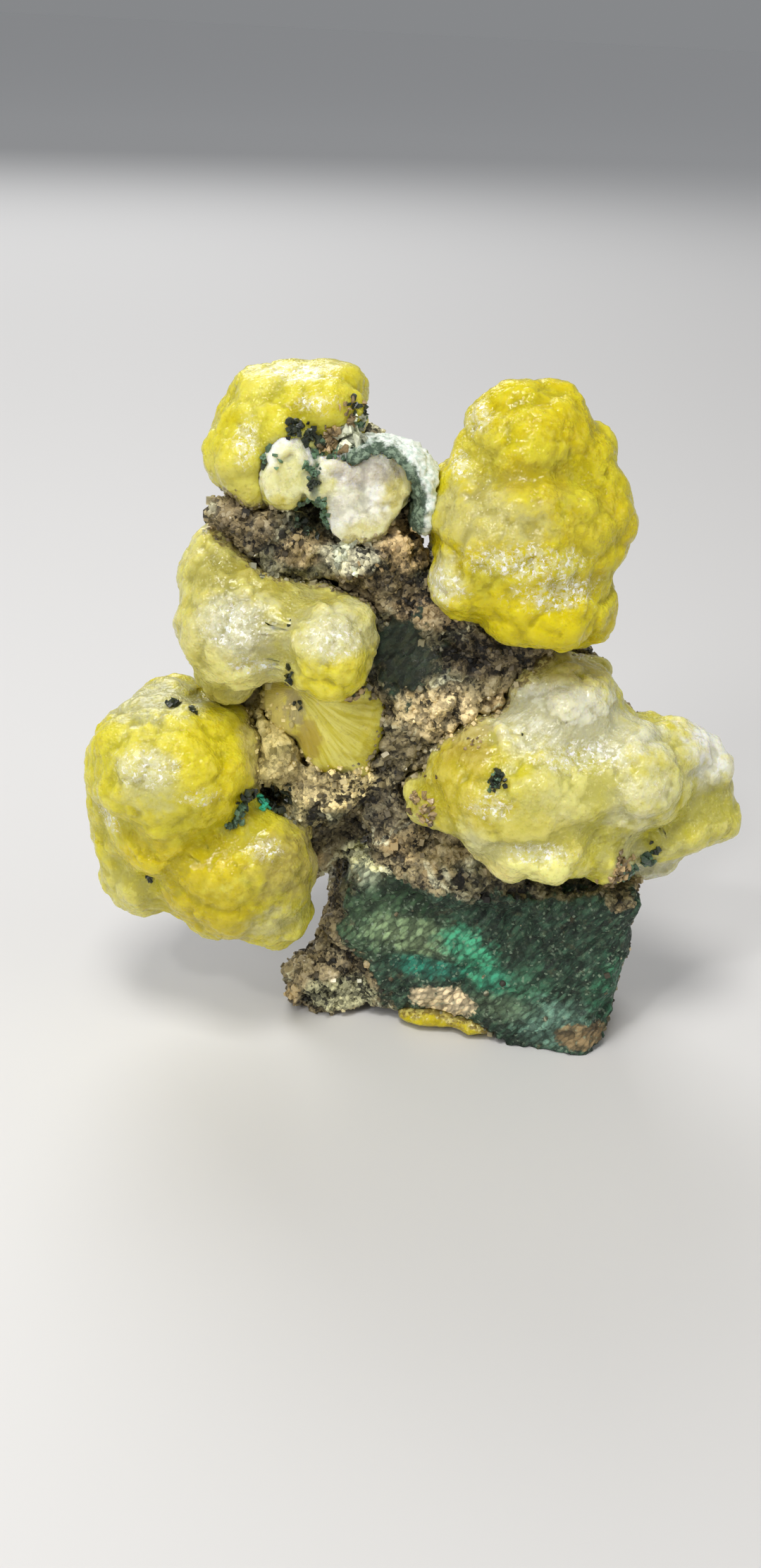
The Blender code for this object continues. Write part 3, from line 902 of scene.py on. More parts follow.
# %% [markdown]
# ## The fibrous fan
# Below the middle lump the brucite broke along its fibres. They spread from one point,
# as the ribs of a fan do. The recipe measures each point's angle about the fan's root
# and lifts it by a noise of that angle, stretched along the ribs.
# %% Fan recipe
FAN_ROOT = (-21.0, -6.0, 67.0)
RIBS_PER_RADIAN = 9.0
ALONG_RIB, THROUGH_FAN = 90.0, 260.0  # per metre
RIB_SCALE = 1.6
FAN_SIZES = {"Rib Height": 0.55 * MM, "Swell": SKIN["Swell"]}
FAN_STEP_SIZE = 4 * MM
FAN_STEP_HEIGHT = 1.0 * MM


def rib_pattern(tree, where):
    """A noise of the angle about the fan's root, drawn out along the ribs."""
    apart = vector_maths(tree, "SUBTRACT", where, Vector(FAN_ROOT) * MM)
    x, y, z = axes_of(tree, apart)
    along = wire(tree, "ShaderNodeCombineXYZ", {
        "X": times(tree, maths(tree, "ARCTAN2", z, x), RIBS_PER_RADIAN),
        "Y": times(tree, length_of(tree, apart), ALONG_RIB),
        "Z": times(tree, y, THROUGH_FAN)}).outputs[0]
    values = {"Vector": along, "Scale": RIB_SCALE, "Detail": 3.0, "Roughness": 0.6}
    return wire(tree, "ShaderNodeTexNoise", values).outputs[0]


def fan_recipe():
    tree, given = new_recipe("fan ribs", **as_inputs(FAN_SIZES))
    where = tree.nodes.new("GeometryNodeInputPosition").outputs[0]
    rib = add_some(tree, about_zero(tree, rib_pattern(tree, where)), given["Rib Height"], given["Swell"])
    step = times(tree, about_zero(tree, noise(tree, where, FAN_STEP_SIZE, 3.0)), FAN_STEP_HEIGHT)
    finish_recipe(tree, raise_skin(tree, given["Geometry"], plus(tree, rib, step)), given["Material"])
    return tree


# %% [markdown]
# Fibres scatter light less than solid wax and shine along their length. The finish
# reads the same ribs as the shape, so its pale and deep streaks lie on them.
# %% Fan
FAN_DRIFTS = [
    ((-27.0, -9, 60), (6.0, 8, 11), (0.74, 0.63, 0.19), 1.0),
    ((-18.5, -11, 58), (2.2, 5, 4), (0.52, 0.38, 0.06), 0.8),
    ((-21.0, -11.5, 64.0), (1.8, 4, 3.2), (0.40, 0.32, 0.18), 0.7),
    ((-12, -10, 49.5), (4, 5, 3), CREAM, 0.8),
]
FIBRE = {
    "Subsurface Weight": 0.4,
    "Subsurface Radius": (1.0, 0.8, 0.3),
    "Subsurface Scale": 2.0 * MM,
    "Coat Weight": 0.25,
    "Coat Roughness": 0.2,
}


def fan_material():
    material, tree, shader, where = new_material("fibrous_wax")
    rib = rib_pattern(tree, where)
    colour = mix(tree, smooth_step(tree, rib, 0.35, 0.65), (0.74, 0.645, 0.045), (0.90, 0.83, 0.20))
    colour = paint_drifts(tree, where, colour, FAN_DRIFTS, 1.8 * MM, 1.6, edge=0.3)
    crumbly = noise(tree, where, 0.7 * MM, 4.0, 0.75)
    colour = mix(tree, smooth_step(tree, crumbly, 0.54, 0.66, 0.0, 0.30), colour, (0.44, 0.35, 0.12))
    tree.links.new(colour, shader.inputs["Base Color"])
    tree.links.new(smooth_step(tree, rib, 0.3, 0.7, 0.55, 0.3), shader.inputs["Roughness"])
    height = plus(tree, rib, times(tree, noise(tree, where, 0.6 * MM, 3.0), 0.5))
    add_bump(tree, shader, height, 0.3, 0.7)
    set_sockets(shader, FIBRE)
    return material


lumps.append(grow("fan_spray", "brucite_fan", fan_material(), "fibrous_brucite", rounds=14, recipe=fan_recipe()))

# %% [markdown]
# ## The pale rind
# A thin rind curls round the broken lobe: chalky mint-white outside, with a dark green
# band on its inner side. It is dry and dull, so it has neither glow nor coat. The band
# is one more drift, with a sharp edge and a mottled colour of its own.
# %% Rind
RIND_BAND = ((-9.5, -9, 98), (8.4, 20, 9.9))
RIND_SKIN = {
    "Fold Size": 2.0 * MM, "Lobe Height": 0.3 * MM, "Dome Size": 1.7 * MM,
    "Dome Height": 0.5 * MM, "Fold Height": 1.1 * MM, "Swell": 0.1 * MM,
}


def rind_material():
    material, tree, shader, where = new_material("mint_chalk")
    speckle = noise(tree, where, 0.8 * MM, 4.0, 0.7)
    colour = mix(tree, smooth_step(tree, speckle, 0.42, 0.66), (0.86, 0.90, 0.83), (0.54, 0.66, 0.57))
    mottle = smooth_step(tree, noise(tree, where, 1.1 * MM, 4.0, 0.7), 0.45, 0.62)
    inner = mix(tree, mottle, (0.028, 0.060, 0.030), (0.22, 0.30, 0.20))
    colour = paint_drifts(tree, where, colour, [(*RIND_BAND, inner, 0.95)], 1.2 * MM, 0.30, edge=0.05)
    tree.links.new(colour, shader.inputs["Base Color"])
    set_sockets(shader, {"Roughness": 0.62, "Specular IOR Level": 0.25})
    add_bump(tree, shader, noise(tree, where, 0.45 * MM, 4.0, 0.7), 0.15, 0.6)
    return material


lumps.append(grow("mint_rind_shell", "pale_rind", rind_material(), "mint_rind", rounds=1, voxel=0.3, **RIND_SKIN))

# %% [markdown]
# ## The rock
# Serpentine rock breaks two ways. Most of it crumbles into dark and tan grains, but the
# front of the foot slid against its neighbour long ago, which polished it into a dark
# green, finely scratched sheet called a slickenside. So we first need to know where the
# slid face is: below the ledge, right of a ragged edge, and on the front. A small patch
# of the same polish shows higher up, between the lumps.
# %% Where the rock slid
SLID_TOP = (32.0 * MM, 30.8 * MM)  # in each pair: from no polish to full polish
SLID_LEFT = (-11.5 * MM, -10 * MM)
SLID_FRONT = (-1 * MM, -3.5 * MM)
LOW_SIDE_START = 18 * MM
LOW_SIDE_LEAN = -0.55
FRONT_TURN = 0.17
RAGGED_SIZE = 6 * MM
RAGGED_UP, RAGGED_ALONG = 12 * MM, 16 * MM
SMOOTH_PATCH = ((-3.0, -9.5, 73.0), (5.4, 7.0, 6.4))
PATCH_FRAY, PATCH_EDGE = 3.6, 0.14


def slid_share(tree, where):
    """1 on the slid front of the foot and 0 on the crumbly rock."""
    x, y, z = axes_of(tree, where)
    ragged = about_zero(tree, noise(tree, where, RAGGED_SIZE, 5.0, 0.65))
    height = add_some(tree, ragged, RAGGED_UP, z)
    low = maths(tree, "MAXIMUM", maths(tree, "SUBTRACT", LOW_SIDE_START, z), 0.0)
    along = add_some(tree, ragged, RAGGED_ALONG, plus(tree, x, times(tree, low, LOW_SIDE_LEAN)))
    depth = plus(tree, y, times(tree, x, FRONT_TURN))
    share = times(tree, smooth_step(tree, height, *SLID_TOP), smooth_step(tree, along, *SLID_LEFT))
    share = times(tree, share, smooth_step(tree, depth, *SLID_FRONT))
    patch = drift(tree, where, times(tree, ragged, PATCH_FRAY), *SMOOTH_PATCH, PATCH_EDGE)
    return maths(tree, "MAXIMUM", share, patch)


# %% [markdown]
# A slickenside is scratched in one direction. We turn the place so that one axis runs
# along the scratches, squeeze that axis, and read a noise there: its blobs come out as
# long scratches. Thin sheets that broke off leave low steps in the same direction.
# %% Scratches and steps
SCRATCH_LEAN = math.radians(52)
SCRATCH_SIZE = 0.85 * MM
LONG_AND_THIN = (0.16, 0.5, 1.0)
STEP_SIZE = 5.5 * MM
BROAD = (0.6, 0.6, 1.0)


def drawn_out(tree, where, squeeze):
    """The place, turned along the scratches and squeezed axis by axis."""
    values = {"Vector": where, "Angle": SCRATCH_LEAN}
    turned = wire(tree, "ShaderNodeVectorRotate", values, rotation_type="Y_AXIS").outputs[0]
    return vector_maths(tree, "MULTIPLY", turned, squeeze)


def scratch_pattern(tree, where):
    """Noise drawn out along one leaning direction."""
    return noise(tree, drawn_out(tree, where, LONG_AND_THIN), SCRATCH_SIZE, 4.0, 0.65, 0.3)


def terrace(tree, where):
    """Thin sheets that broke off the slid face and left low steps."""
    drawn = drawn_out(tree, where, BROAD)
    return smooth_step(tree, noise(tree, drawn, STEP_SIZE, 4.0, 0.6), 0.47, 0.52)


# %% [markdown]
# Everywhere else the rock is broken into blocks within blocks, with crags and grit on
# them. Large slabs stand behind, and sand lies heaped in two places. The recipe adds
# these up, layer by layer. It also stores two numbers on every point, how high it
# stands and its block's own tone, because the finish colours the rock by them: the
# height gives painted shade in the low places and painted light on the high ones.
# %% Rock recipe
ROCK_SIZES = {
    "Chip Size": 1.9 * MM, "Chip Height": 1.1 * MM,
    "Grit Height": 0.7 * MM, "Swell": 0.3 * MM,
}
LARGE_CHIP = 2.3
CHIP_GROOVE, LARGE_GROOVE, SLAB_GROOVE = 0.35, 0.2, 0.5
CHIP_FRAY = (1.5 * MM, 1.6 * MM)
SLAB_FRAY = (5 * MM, 3 * MM)
SLID_CALM = 0.86
ROUGH_CORNER = ((-15.0, -3.0, 7.0), (8.0, 9.0, 9.0))
CRAG_SIZE = 7 * MM
CRAG_HEIGHT = 3.0
GRIT_SIZE = 1.3 * MM
SCRATCH_HEIGHT = 0.9 * MM
STEP_HEIGHT = 0.7 * MM
BACK = (1 * MM, 6 * MM)  # the slabs begin at the first depth and stand fully from the second
SLAB_SIZE = 9 * MM
SLAB_HEIGHT = 2.6 * MM
SAND_HEAP = ((-25.0, -9.0, 57.0), (7.5, 9.0, 10.0))
LEDGE_HEAP = ((-19.0, -4.0, 43.0), (6.5, 7.0, 5.0))
HEAP_SHARE, LEDGE_SHARE = 0.10, 1.6
HEAP_HEIGHT = 1.9 * MM


def block_heights(tree, where, size, groove):
    """Broken blocks: each cell at its own height with a groove round it, and its own tone."""
    found = cells(tree, where, per_metre(tree, size)).outputs
    own, tone, _ = axes_of(tree, found["Color"])
    dip = smooth_step(tree, found["Distance"], 0.30, 0.75, 0.0, groove)
    return maths(tree, "SUBTRACT", about_zero(tree, own), dip), tone


def remember(tree, geometry, **values):
    """Stores values on the points, for the finish to read."""
    for name, value in values.items():
        inputs = {"Geometry": geometry, "Name": name, "Value": value}
        noted = wire(tree, "GeometryNodeStoreNamedAttribute", inputs, data_type="FLOAT", domain="POINT")
        geometry = noted.outputs[0]
    return geometry


def rock_recipe():
    tree, given = new_recipe("broken rock", **as_inputs(ROCK_SIZES))
    where = tree.nodes.new("GeometryNodeInputPosition").outputs[0]
    slid = slid_share(tree, where)

    frayed = fray_place(tree, where, *CHIP_FRAY)
    large_size = times(tree, given["Chip Size"], LARGE_CHIP)
    small, small_tone = block_heights(tree, frayed, given["Chip Size"], CHIP_GROOVE)
    large, large_tone = block_heights(tree, frayed, large_size, LARGE_GROOVE)
    chip = plus(tree, small, large)
    craggy = about_zero(tree, noise(tree, where, CRAG_SIZE, 6.0, 0.62))
    grit = times(tree, about_zero(tree, noise(tree, where, GRIT_SIZE, 2.0, 0.6)), given["Grit Height"])
    rise = plus(tree, times(tree, chip, given["Chip Height"]), times(tree, craggy, CRAG_HEIGHT * MM))
    rough = maths(tree, "SUBTRACT", 1.0, times(tree, slid, SLID_CALM))
    rough = add_some(tree, drift(tree, where, 0.0, *ROUGH_CORNER), 0.6, rough)
    rise = times(tree, plus(tree, rise, grit), rough)

    scratch = times(tree, about_zero(tree, scratch_pattern(tree, where)), SCRATCH_HEIGHT)
    scratch = add_some(tree, terrace(tree, where), STEP_HEIGHT, scratch)
    rise = plus(tree, rise, times(tree, scratch, slid))

    behind = smooth_step(tree, axes_of(tree, where)["Y"], *BACK)
    slabs, _ = block_heights(tree, fray_place(tree, where, *SLAB_FRAY), SLAB_SIZE, SLAB_GROOVE)
    rise = add_some(tree, times(tree, about_zero(tree, slabs, 0.25), behind), SLAB_HEIGHT, rise)

    uneven = times(tree, craggy, 1.2)
    heaped, ledge = (drift(tree, where, uneven, *heap, 0.5) for heap in (SAND_HEAP, LEDGE_HEAP))
    sand = add_some(tree, heaped, HEAP_SHARE, times(tree, ledge, LEDGE_SHARE))
    rise = add_some(tree, sand, HEAP_HEIGHT, rise)
    rise = plus(tree, rise, given["Swell"])

    relief = add_some(tree, craggy, CRAG_HEIGHT, chip)
    block = times(tree, plus(tree, small_tone, large_tone), 0.5)
    noted = remember(tree, given["Geometry"], relief=relief, block=block)
    finish_recipe(tree, raise_skin(tree, noted, rise), given["Material"])
    return tree


# %% [markdown]
# ## The rock's colours
# The rock's colours are minerals that can be named: tan and pinkish carbonate sand,
# nearly black magnetite-rich bands, dark green serpentine, and emerald to teal on the
# slid face. Four tables of drifts say which of them a place has: the crumbly rock, the
# sandy crust beside the fan, the slid foot, and two tan chips on it. One nearly black
# drift in the rock's table is painted shade in a recess.
# %% Rock drifts
ROCK_DRIFTS = [
    ((-30, -9, 94), (6, 8, 4.5), (0.115, 0.085, 0.042), 0.9),
    ((-20.5, -9, 90.5), (5, 5, 3), (0.34, 0.25, 0.12), 0.8),
    ((-9, -10, 84), (9, 8, 4), (0.115, 0.085, 0.042), 0.9),
    ((-3.5, -7, 91), (5.5, 7, 4), (0.46, 0.33, 0.16), 0.95),
    ((-13.8, -11, 89.7), (5, 5, 2.4), (0.62, 0.60, 0.42), 0.95),
    ((0, -9, 80), (6, 7, 3), (0.26, 0.18, 0.09), 0.8),
    ((11, -10.5, 73.8), (10, 8, 3.4), (0.045, 0.034, 0.022), 0.95),
    ((-2.5, -10, 73), (5.8, 7, 6), (0.03, 0.034, 0.018), 0.95),
    ((3, -11.5, 64), (7, 7, 5), (0.62, 0.50, 0.27), 0.95),
    ((-3.5, -9, 54), (6, 8, 6.5), (0.13, 0.11, 0.06), 0.9),
    ((-14, -11, 49), (8, 7, 4.5), (0.92, 0.76, 0.38), 1.0),
    ((-24, -11, 55), (7.5, 9, 9.5), (0.76, 0.65, 0.32), 1.0),
    ((-19.5, -4, 43), (5, 6, 4), (0.84, 0.70, 0.34), 0.95),
    ((-5, -9, 44.5), (5, 6, 4), (0.05, 0.045, 0.03), 0.85),
    # Painted shade: a nearly black drift laid in a recess where shade falls.
    ((-11, -2, 36.5), (8, 8, 5), (0.080, 0.070, 0.040), 1.0),
    ((4.5, -9, 39), (7, 7, 3.5), (0.20, 0.155, 0.075), 0.85),
    ((24, -12, 32.5), (19, 9, 3.6), (0.055, 0.052, 0.026), 0.9),
    ((-6.5, -3.5, 32.3), (6, 6, 2.8), (0.84, 0.84, 0.50), 1.0),
    ((-16, 0, 13), (6, 12, 13), (0.26, 0.21, 0.12), 0.8),
    ((-11.5, -5.5, 4.8), (7, 6, 3.6), (0.36, 0.37, 0.22), 0.9),
]
SAND_CRUST = [
    ((-26, -10, 58), (7.0, 9, 10.5), (0.68, 0.57, 0.19), 0.60),
    ((-20, -10, 51), (6.5, 7, 4.5), (0.62, 0.50, 0.25), 0.50),
]
FOOT_DRIFTS = [
    ((-8.8, -3, 30.5), (5.5, 6, 3.2), (0.46, 0.50, 0.34), 1.0),
    ((-2, -9.5, 73), (8, 8, 8), (0.022, 0.026, 0.012), 1.0),
    ((-1, -7, 26), (6, 7, 5), (0.020, 0.055, 0.020), 0.95),
    ((-6, -6, 20.5), (8, 7, 6), (0.09, 0.16, 0.08), 0.9),
    ((2.0, -7, 19.2), (9, 7, 3.4), (0.26, 0.36, 0.18), 1.0),
    ((9.7, -9, 19.5), (4.0, 7, 3.0), (0.08, 0.46, 0.25), 1.0),
    ((13.0, -10, 16.0), (3.4, 7, 4.2), (0.06, 0.36, 0.19), 0.9),
    ((16.8, -11, 13.0), (3.2, 7, 2.6), (0.05, 0.38, 0.22), 0.9),
    ((4, -7, 13.4), (6, 7, 1.8), (0.03, 0.26, 0.17), 0.95),
    ((21, -11, 12), (5, 7, 5), (0.05, 0.16, 0.085), 0.8),
    ((26, -13, 6.0), (6.0, 7, 4.5), (0.16, 0.30, 0.22), 0.9),
    ((36, -12, 14), (3.0, 7, 6), (0.04, 0.18, 0.09), 0.8),
    ((18, -11, 8), (6, 7, 2.6), (0.14, 0.20, 0.11), 0.7),
]
FOOT_CHIPS = [
    ((7.6, -8, 6.8), (6.4, 5, 3.5), (0.95, 0.77, 0.47), 1.0),
    ((32.5, -13.8, 4.0), (5, 6, 3.0), (0.30, 0.21, 0.10), 0.95),
]
print("rock drifts:", len(ROCK_DRIFTS + SAND_CRUST + FOOT_DRIFTS + FOOT_CHIPS))

# %% [markdown]
# Every grain has a tone of its own. Voronoi cells of two sizes give it, and fine noise
# shades it. A grain's tone, its block's tone and its height together pick a step on a
# ramp from nearly black to pale sand; the height part is painted shade in the low places
# and painted light on the high ones. The same sum also sets how light or dark the local
# family of colours comes out.
# %% Grain colours
GRAIN_RAMP = (
    (0.0, (0.008, 0.007, 0.005)), (0.28, (0.030, 0.024, 0.014)), (0.44, (0.11, 0.082, 0.04)),
    (0.58, (0.25, 0.20, 0.11)), (0.72, (0.41, 0.32, 0.155)), (0.88, (0.60, 0.50, 0.27)),
    (1.0, (0.80, 0.72, 0.50)),
)
FINE_GRAIN = 0.5 * MM
COARSE_GRAIN = 1.2 * MM
FAMILY_SIZE = 15 * MM
VEIN_SIZE = 13 * MM
VEIN_TINT = (0.58, 0.58, 0.40)


def grain_tones(tree, where, size):
    """Each cell's own tone, 0 to 1, with the cells' edges frayed."""
    return cell_tone(tree, cells(tree, fray_place(tree, where, 0.7 * size, 0.9 * size), size))


def mixed_tones(tree, where):
    """Grains of two sizes, finely shaded."""
    fine, coarse = (grain_tones(tree, where, size) for size in (FINE_GRAIN, COARSE_GRAIN))
    share = smooth_step(tree, noise(tree, where, 2.5 * MM, 3.0), 0.45, 0.60)
    tone = wire(tree, "ShaderNodeMix", {0: share, 2: fine, 3: coarse}, data_type="FLOAT").outputs[0]
    shade = times(tree, about_zero(tree, noise(tree, where, 0.35 * MM, 3.0, 0.7)), 0.9)
    return maths(tree, "ADD", tone, shade, clamp=True)


def colour_ramp(tree, value, stops):
    """A Color Ramp node with the given (position, colour) stops."""
    ramp = wire(tree, "ShaderNodeValToRGB", {0: value})
    made = ramp.color_ramp.elements
    while len(made) < len(stops):
        made.new(0.5)
    for stop, (place, tint) in zip(made, stops):
        stop.position, stop.color = place, (*tint, 1)
    return ramp.outputs[0]


def family_colour(tree, where):
    """Brown, dark green or tan regions, pale veins, and then each place's own drift."""
    region = noise(tree, where, FAMILY_SIZE, 3.0, 0.6)
    family = mix(tree, smooth_step(tree, region, 0.50, 0.58), (0.20, 0.165, 0.09), (0.050, 0.060, 0.036))
    family = mix(tree, smooth_step(tree, region, 0.44, 0.38), family, (0.34, 0.25, 0.12))
    vein = maths(tree, "ABSOLUTE", about_zero(tree, noise(tree, where, VEIN_SIZE, 3.0, 0.5, 0.6)))
    vein = add_some(tree, noise(tree, where, 2 * MM, 2.0), 0.02, vein)
    family = mix(tree, smooth_step(tree, vein, 0.030, 0.012, 0.0, 0.75), family, VEIN_TINT)
    return paint_drifts(tree, where, family, ROCK_DRIFTS, 2.4 * MM, 0.9, edge=0.25)


def rock_colour(tree, where, tone):
    """Salt-and-pepper grains, coloured by block and by the family a place belongs to, with painted shade in low
    places and painted light on high ones.
    """
    # Painted shade and light: the rock is darker where it lies low and lighter where it stands high.
    height_shading = smooth_step(tree, stored(tree, "relief"), -0.9, 0.7)
    mixed = add_some(tree, stored(tree, "block"), 0.45, add_some(tree, height_shading, 0.34, -0.14))
    mixed = add_some(tree, tone, 0.56, mixed)
    lightness = smooth_step(tree, mixed, 0.12, 0.90, 0.05, 2.3)
    toned = scaled(tree, family_colour(tree, where), lightness)
    grainy = mix(tree, 0.70, colour_ramp(tree, mixed, GRAIN_RAMP), toned)
    sandy = smooth_step(tree, mixed, 0.05, 0.45, 0.55, 1.0)
    return paint_drifts(tree, where, grainy, SAND_CRUST, 1.6 * MM, 1.3, edge=0.40, through=sandy)


# %% [markdown]
# The slid face is blackish green. Scratches and mottles pull it lighter, rust stains
# it, and the sage, emerald and teal drifts show only through the same scratches. Small
# flat scales, each made lighter or darker as a painted sheen, give it its scaly look,
# and pale flecks are scattered over it.
# %% Foot colours
SCALE_SIZE = 0.8 * MM
FLAT_SCALES = (0.45, 0.7, 1.0)
FLECK_SIZE = 0.42 * MM
FLECK_TOP = (60 * MM, 50 * MM)


def foot_colour(tree, where):
    """The slid face: blackish green, with sage, emerald and teal drifts and two tan chips."""
    weave = scratch_pattern(tree, where)
    mottle = noise(tree, where, 1.1 * MM, 5.0, 0.72)
    colour = mix(tree, smooth_step(tree, weave, 0.38, 0.64), (0.008, 0.022, 0.013), (0.040, 0.095, 0.055))
    colour = mix(tree, smooth_step(tree, mottle, 0.50, 0.66, 0.0, 0.75), colour, (0.085, 0.13, 0.075))
    rust = noise(tree, where, 2.6 * MM, 5.0, 0.7)
    colour = mix(tree, smooth_step(tree, rust, 0.56, 0.70, 0.0, 0.6), colour, (0.12, 0.10, 0.05))
    through = smooth_step(tree, plus(tree, weave, mottle), 0.78, 1.08, 0.45, 1.0)
    colour = paint_drifts(tree, where, colour, FOOT_DRIFTS, 1.6 * MM, 1.9, edge=0.5, through=through)
    colour = paint_drifts(tree, where, colour, FOOT_CHIPS, 1.4 * MM, 0.9, edge=0.10)
    scales = cells(tree, drawn_out(tree, where, FLAT_SCALES), SCALE_SIZE)
    dark_edge = smooth_step(tree, scales.outputs["Distance"], 0.35, 0.75, 0.0, 0.6)
    colour = mix(tree, dark_edge, colour, (0.012, 0.020, 0.012))
    # Painted sheen: each flat scale is made lighter or darker, as if it caught the light at its own angle.
    colour = scaled(tree, colour, smooth_step(tree, cell_tone(tree, scales), 0.0, 1.0, 0.55, 1.6))
    low_down = smooth_step(tree, axes_of(tree, where)["Z"], *FLECK_TOP, 0.0, 0.5)
    fleck = smooth_step(tree, grain_tones(tree, where, FLECK_SIZE), 0.90, 1.0)
    return mix(tree, times(tree, fleck, low_down), colour, (0.34, 0.44, 0.30))


# %% [markdown]
# Now both colours meet in one finish, and the rock is grown as the lumps were. Its
# voxels are nearly twice as large, because broken stone needs no smooth curves.
# %% Rock
ROCK_VOXEL = 0.62
ROCK_ROUNDS = 2
STONE = {"IOR": 1.56, "Specular IOR Level": 0.35}


def rock_material():
    material, tree, shader, where = new_material("serpentine_rock_skin")
    crumbly = rock_colour(tree, where, mixed_tones(tree, where))
    colour = mix(tree, slid_share(tree, where), crumbly, foot_colour(tree, where))
    tree.links.new(colour, shader.inputs["Base Color"])
    sparkle = smooth_step(tree, grain_tones(tree, where, 0.55 * MM), 0.55, 1.0, 0.75, 0.25)
    tree.links.new(sparkle, shader.inputs["Roughness"])
    grit = noise(tree, where, 0.5 * MM, 3.0, 0.7)
    add_bump(tree, shader, add_some(tree, scratch_pattern(tree, where), 0.6, grit), 0.28, 0.8)
    set_sockets(shader, STONE)
    return material


rock = fine_copy("serpentine_rock_body", "serpentine_matrix", ROCK_VOXEL, ROCK_ROUNDS)
follow_recipe(rock, rock_recipe(), **ROCK_SIZES, Material=rock_material())
settle(rock)
keep_to_box(rock.data)
rock.data.shade_smooth()
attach(rock, "root")
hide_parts("serpentine_matrix")
print("rock:", triangles_of(rock.data), "triangles")

# %% [markdown]
# ## Loose grains
# The crumbly rock is a crust of grains from a third of a millimetre to a millimetre.
# Only the open rock gets them: a grain between rock and lump would be paid for and
# never seen. So we look out from each point of the rock along its normal, and mark the
# point as open when no lump lies within two millimetres. The grain recipe reads that mark.
# %% Mark the open rock
LOOK_FROM = 0.4 * MM
LOOK_REACH = 2.4 * MM
FLOOR_MARGIN = 0.7 * MM


def tree_of(pieces):
    """One search tree over several pieces."""
    every_point, every_face, start = [], [], 0
    for piece in pieces:
        found = points_of(piece.data)
        every_point.extend(map(Vector, found))
        every_face.extend([tuple(start + i for i in p.vertices) for p in piece.data.polygons])
        start += len(found)
    return BVHTree.FromPolygons(every_point, every_face)


def mark_open(piece, covers):
    """Stores 1 on the points that nothing covers, and 0 on the covered ones."""
    found = points_of(piece.data)
    open_share = np.ones(len(found), np.float32)
    for i, (place, way) in enumerate(zip(found, normals_of(piece.data))):
        way = Vector(way)
        hit = covers.ray_cast(Vector(place) - way * LOOK_FROM, way, LOOK_REACH)
        if hit[0] is not None or place[2] < FLOOR_MARGIN:
            open_share[i] = 0.0
    store(piece.data, "open", open_share)
    return open_share.mean()


print("open share of the rock:", round(float(mark_open(rock, tree_of(lumps))), 2))

# %% [markdown]
# Sand on a rock isn't even: there are many fine grains and a few coarse ones, more here
# and fewer there, and none on the slid face. The recipe scatters points over the open
# rock, and puts a small cube or a gem-like ball on each, with its own size, shape and
# turn. A chance number is raised to a power, which makes most grains small. Each grain
# also keeps a chance tone for its colour.
# %% Grain recipe
GRAINS = {
    "Grains per mm2": 0.68, "Least Size": 0.26 * MM, "Most Size": 0.85 * MM, "Seed": 5,
}
PER_SQUARE_METRE = 1e6
SLID_BARE = 0.985
FEW_COARSE = 2.2
FLATTEST, ROUNDEST = (0.6, 0.6, 0.5), (1.1, 1.1, 1.0)
FULL_TURN = 6.28


def random_value(tree, kind, low, high, seed):
    """A chance value for each grain; kind is FLOAT, FLOAT_VECTOR or INT."""
    first = {"FLOAT_VECTOR": 0, "FLOAT": 2, "INT": 4}[kind]
    node = wire(tree, "FunctionNodeRandomValue", {first: low, first + 1: high, "Seed": seed}, data_type=kind)
    return node.outputs[{"FLOAT_VECTOR": 0, "FLOAT": 1, "INT": 2}[kind]]


def grain_density(tree, where, per_mm2):
    """How many grains a square metre gets: patchy, on open rock, and off the slid face."""
    is_open = wire(tree, "GeometryNodeInputNamedAttribute", {"Name": "open"}, data_type="FLOAT").outputs[0]
    bare = maths(tree, "SUBTRACT", 1.0, times(tree, slid_share(tree, where), SLID_BARE))
    patchy = smooth_step(tree, noise(tree, where, 6 * MM, 2.0), 0.35, 0.6, 0.35, 1.0)
    allowed = times(tree, is_open, times(tree, bare, patchy))
    return times(tree, times(tree, per_mm2, PER_SQUARE_METRE), allowed)


def grain_shapes(tree):
    """A gem-like ball and a cube, to pick from."""
    gem = wire(tree, "GeometryNodeMeshIcoSphere", {"Radius": 1.0, "Subdivisions": 1}).outputs[0]
    block = wire(tree, "GeometryNodeMeshCube", {"Size": (1.5, 1.5, 1.5)}).outputs[0]
    shapes = wire(tree, "GeometryNodeGeometryToInstance")
    tree.links.new(block, shapes.inputs[0])
    tree.links.new(gem, shapes.inputs[0])
    return shapes.outputs[0]


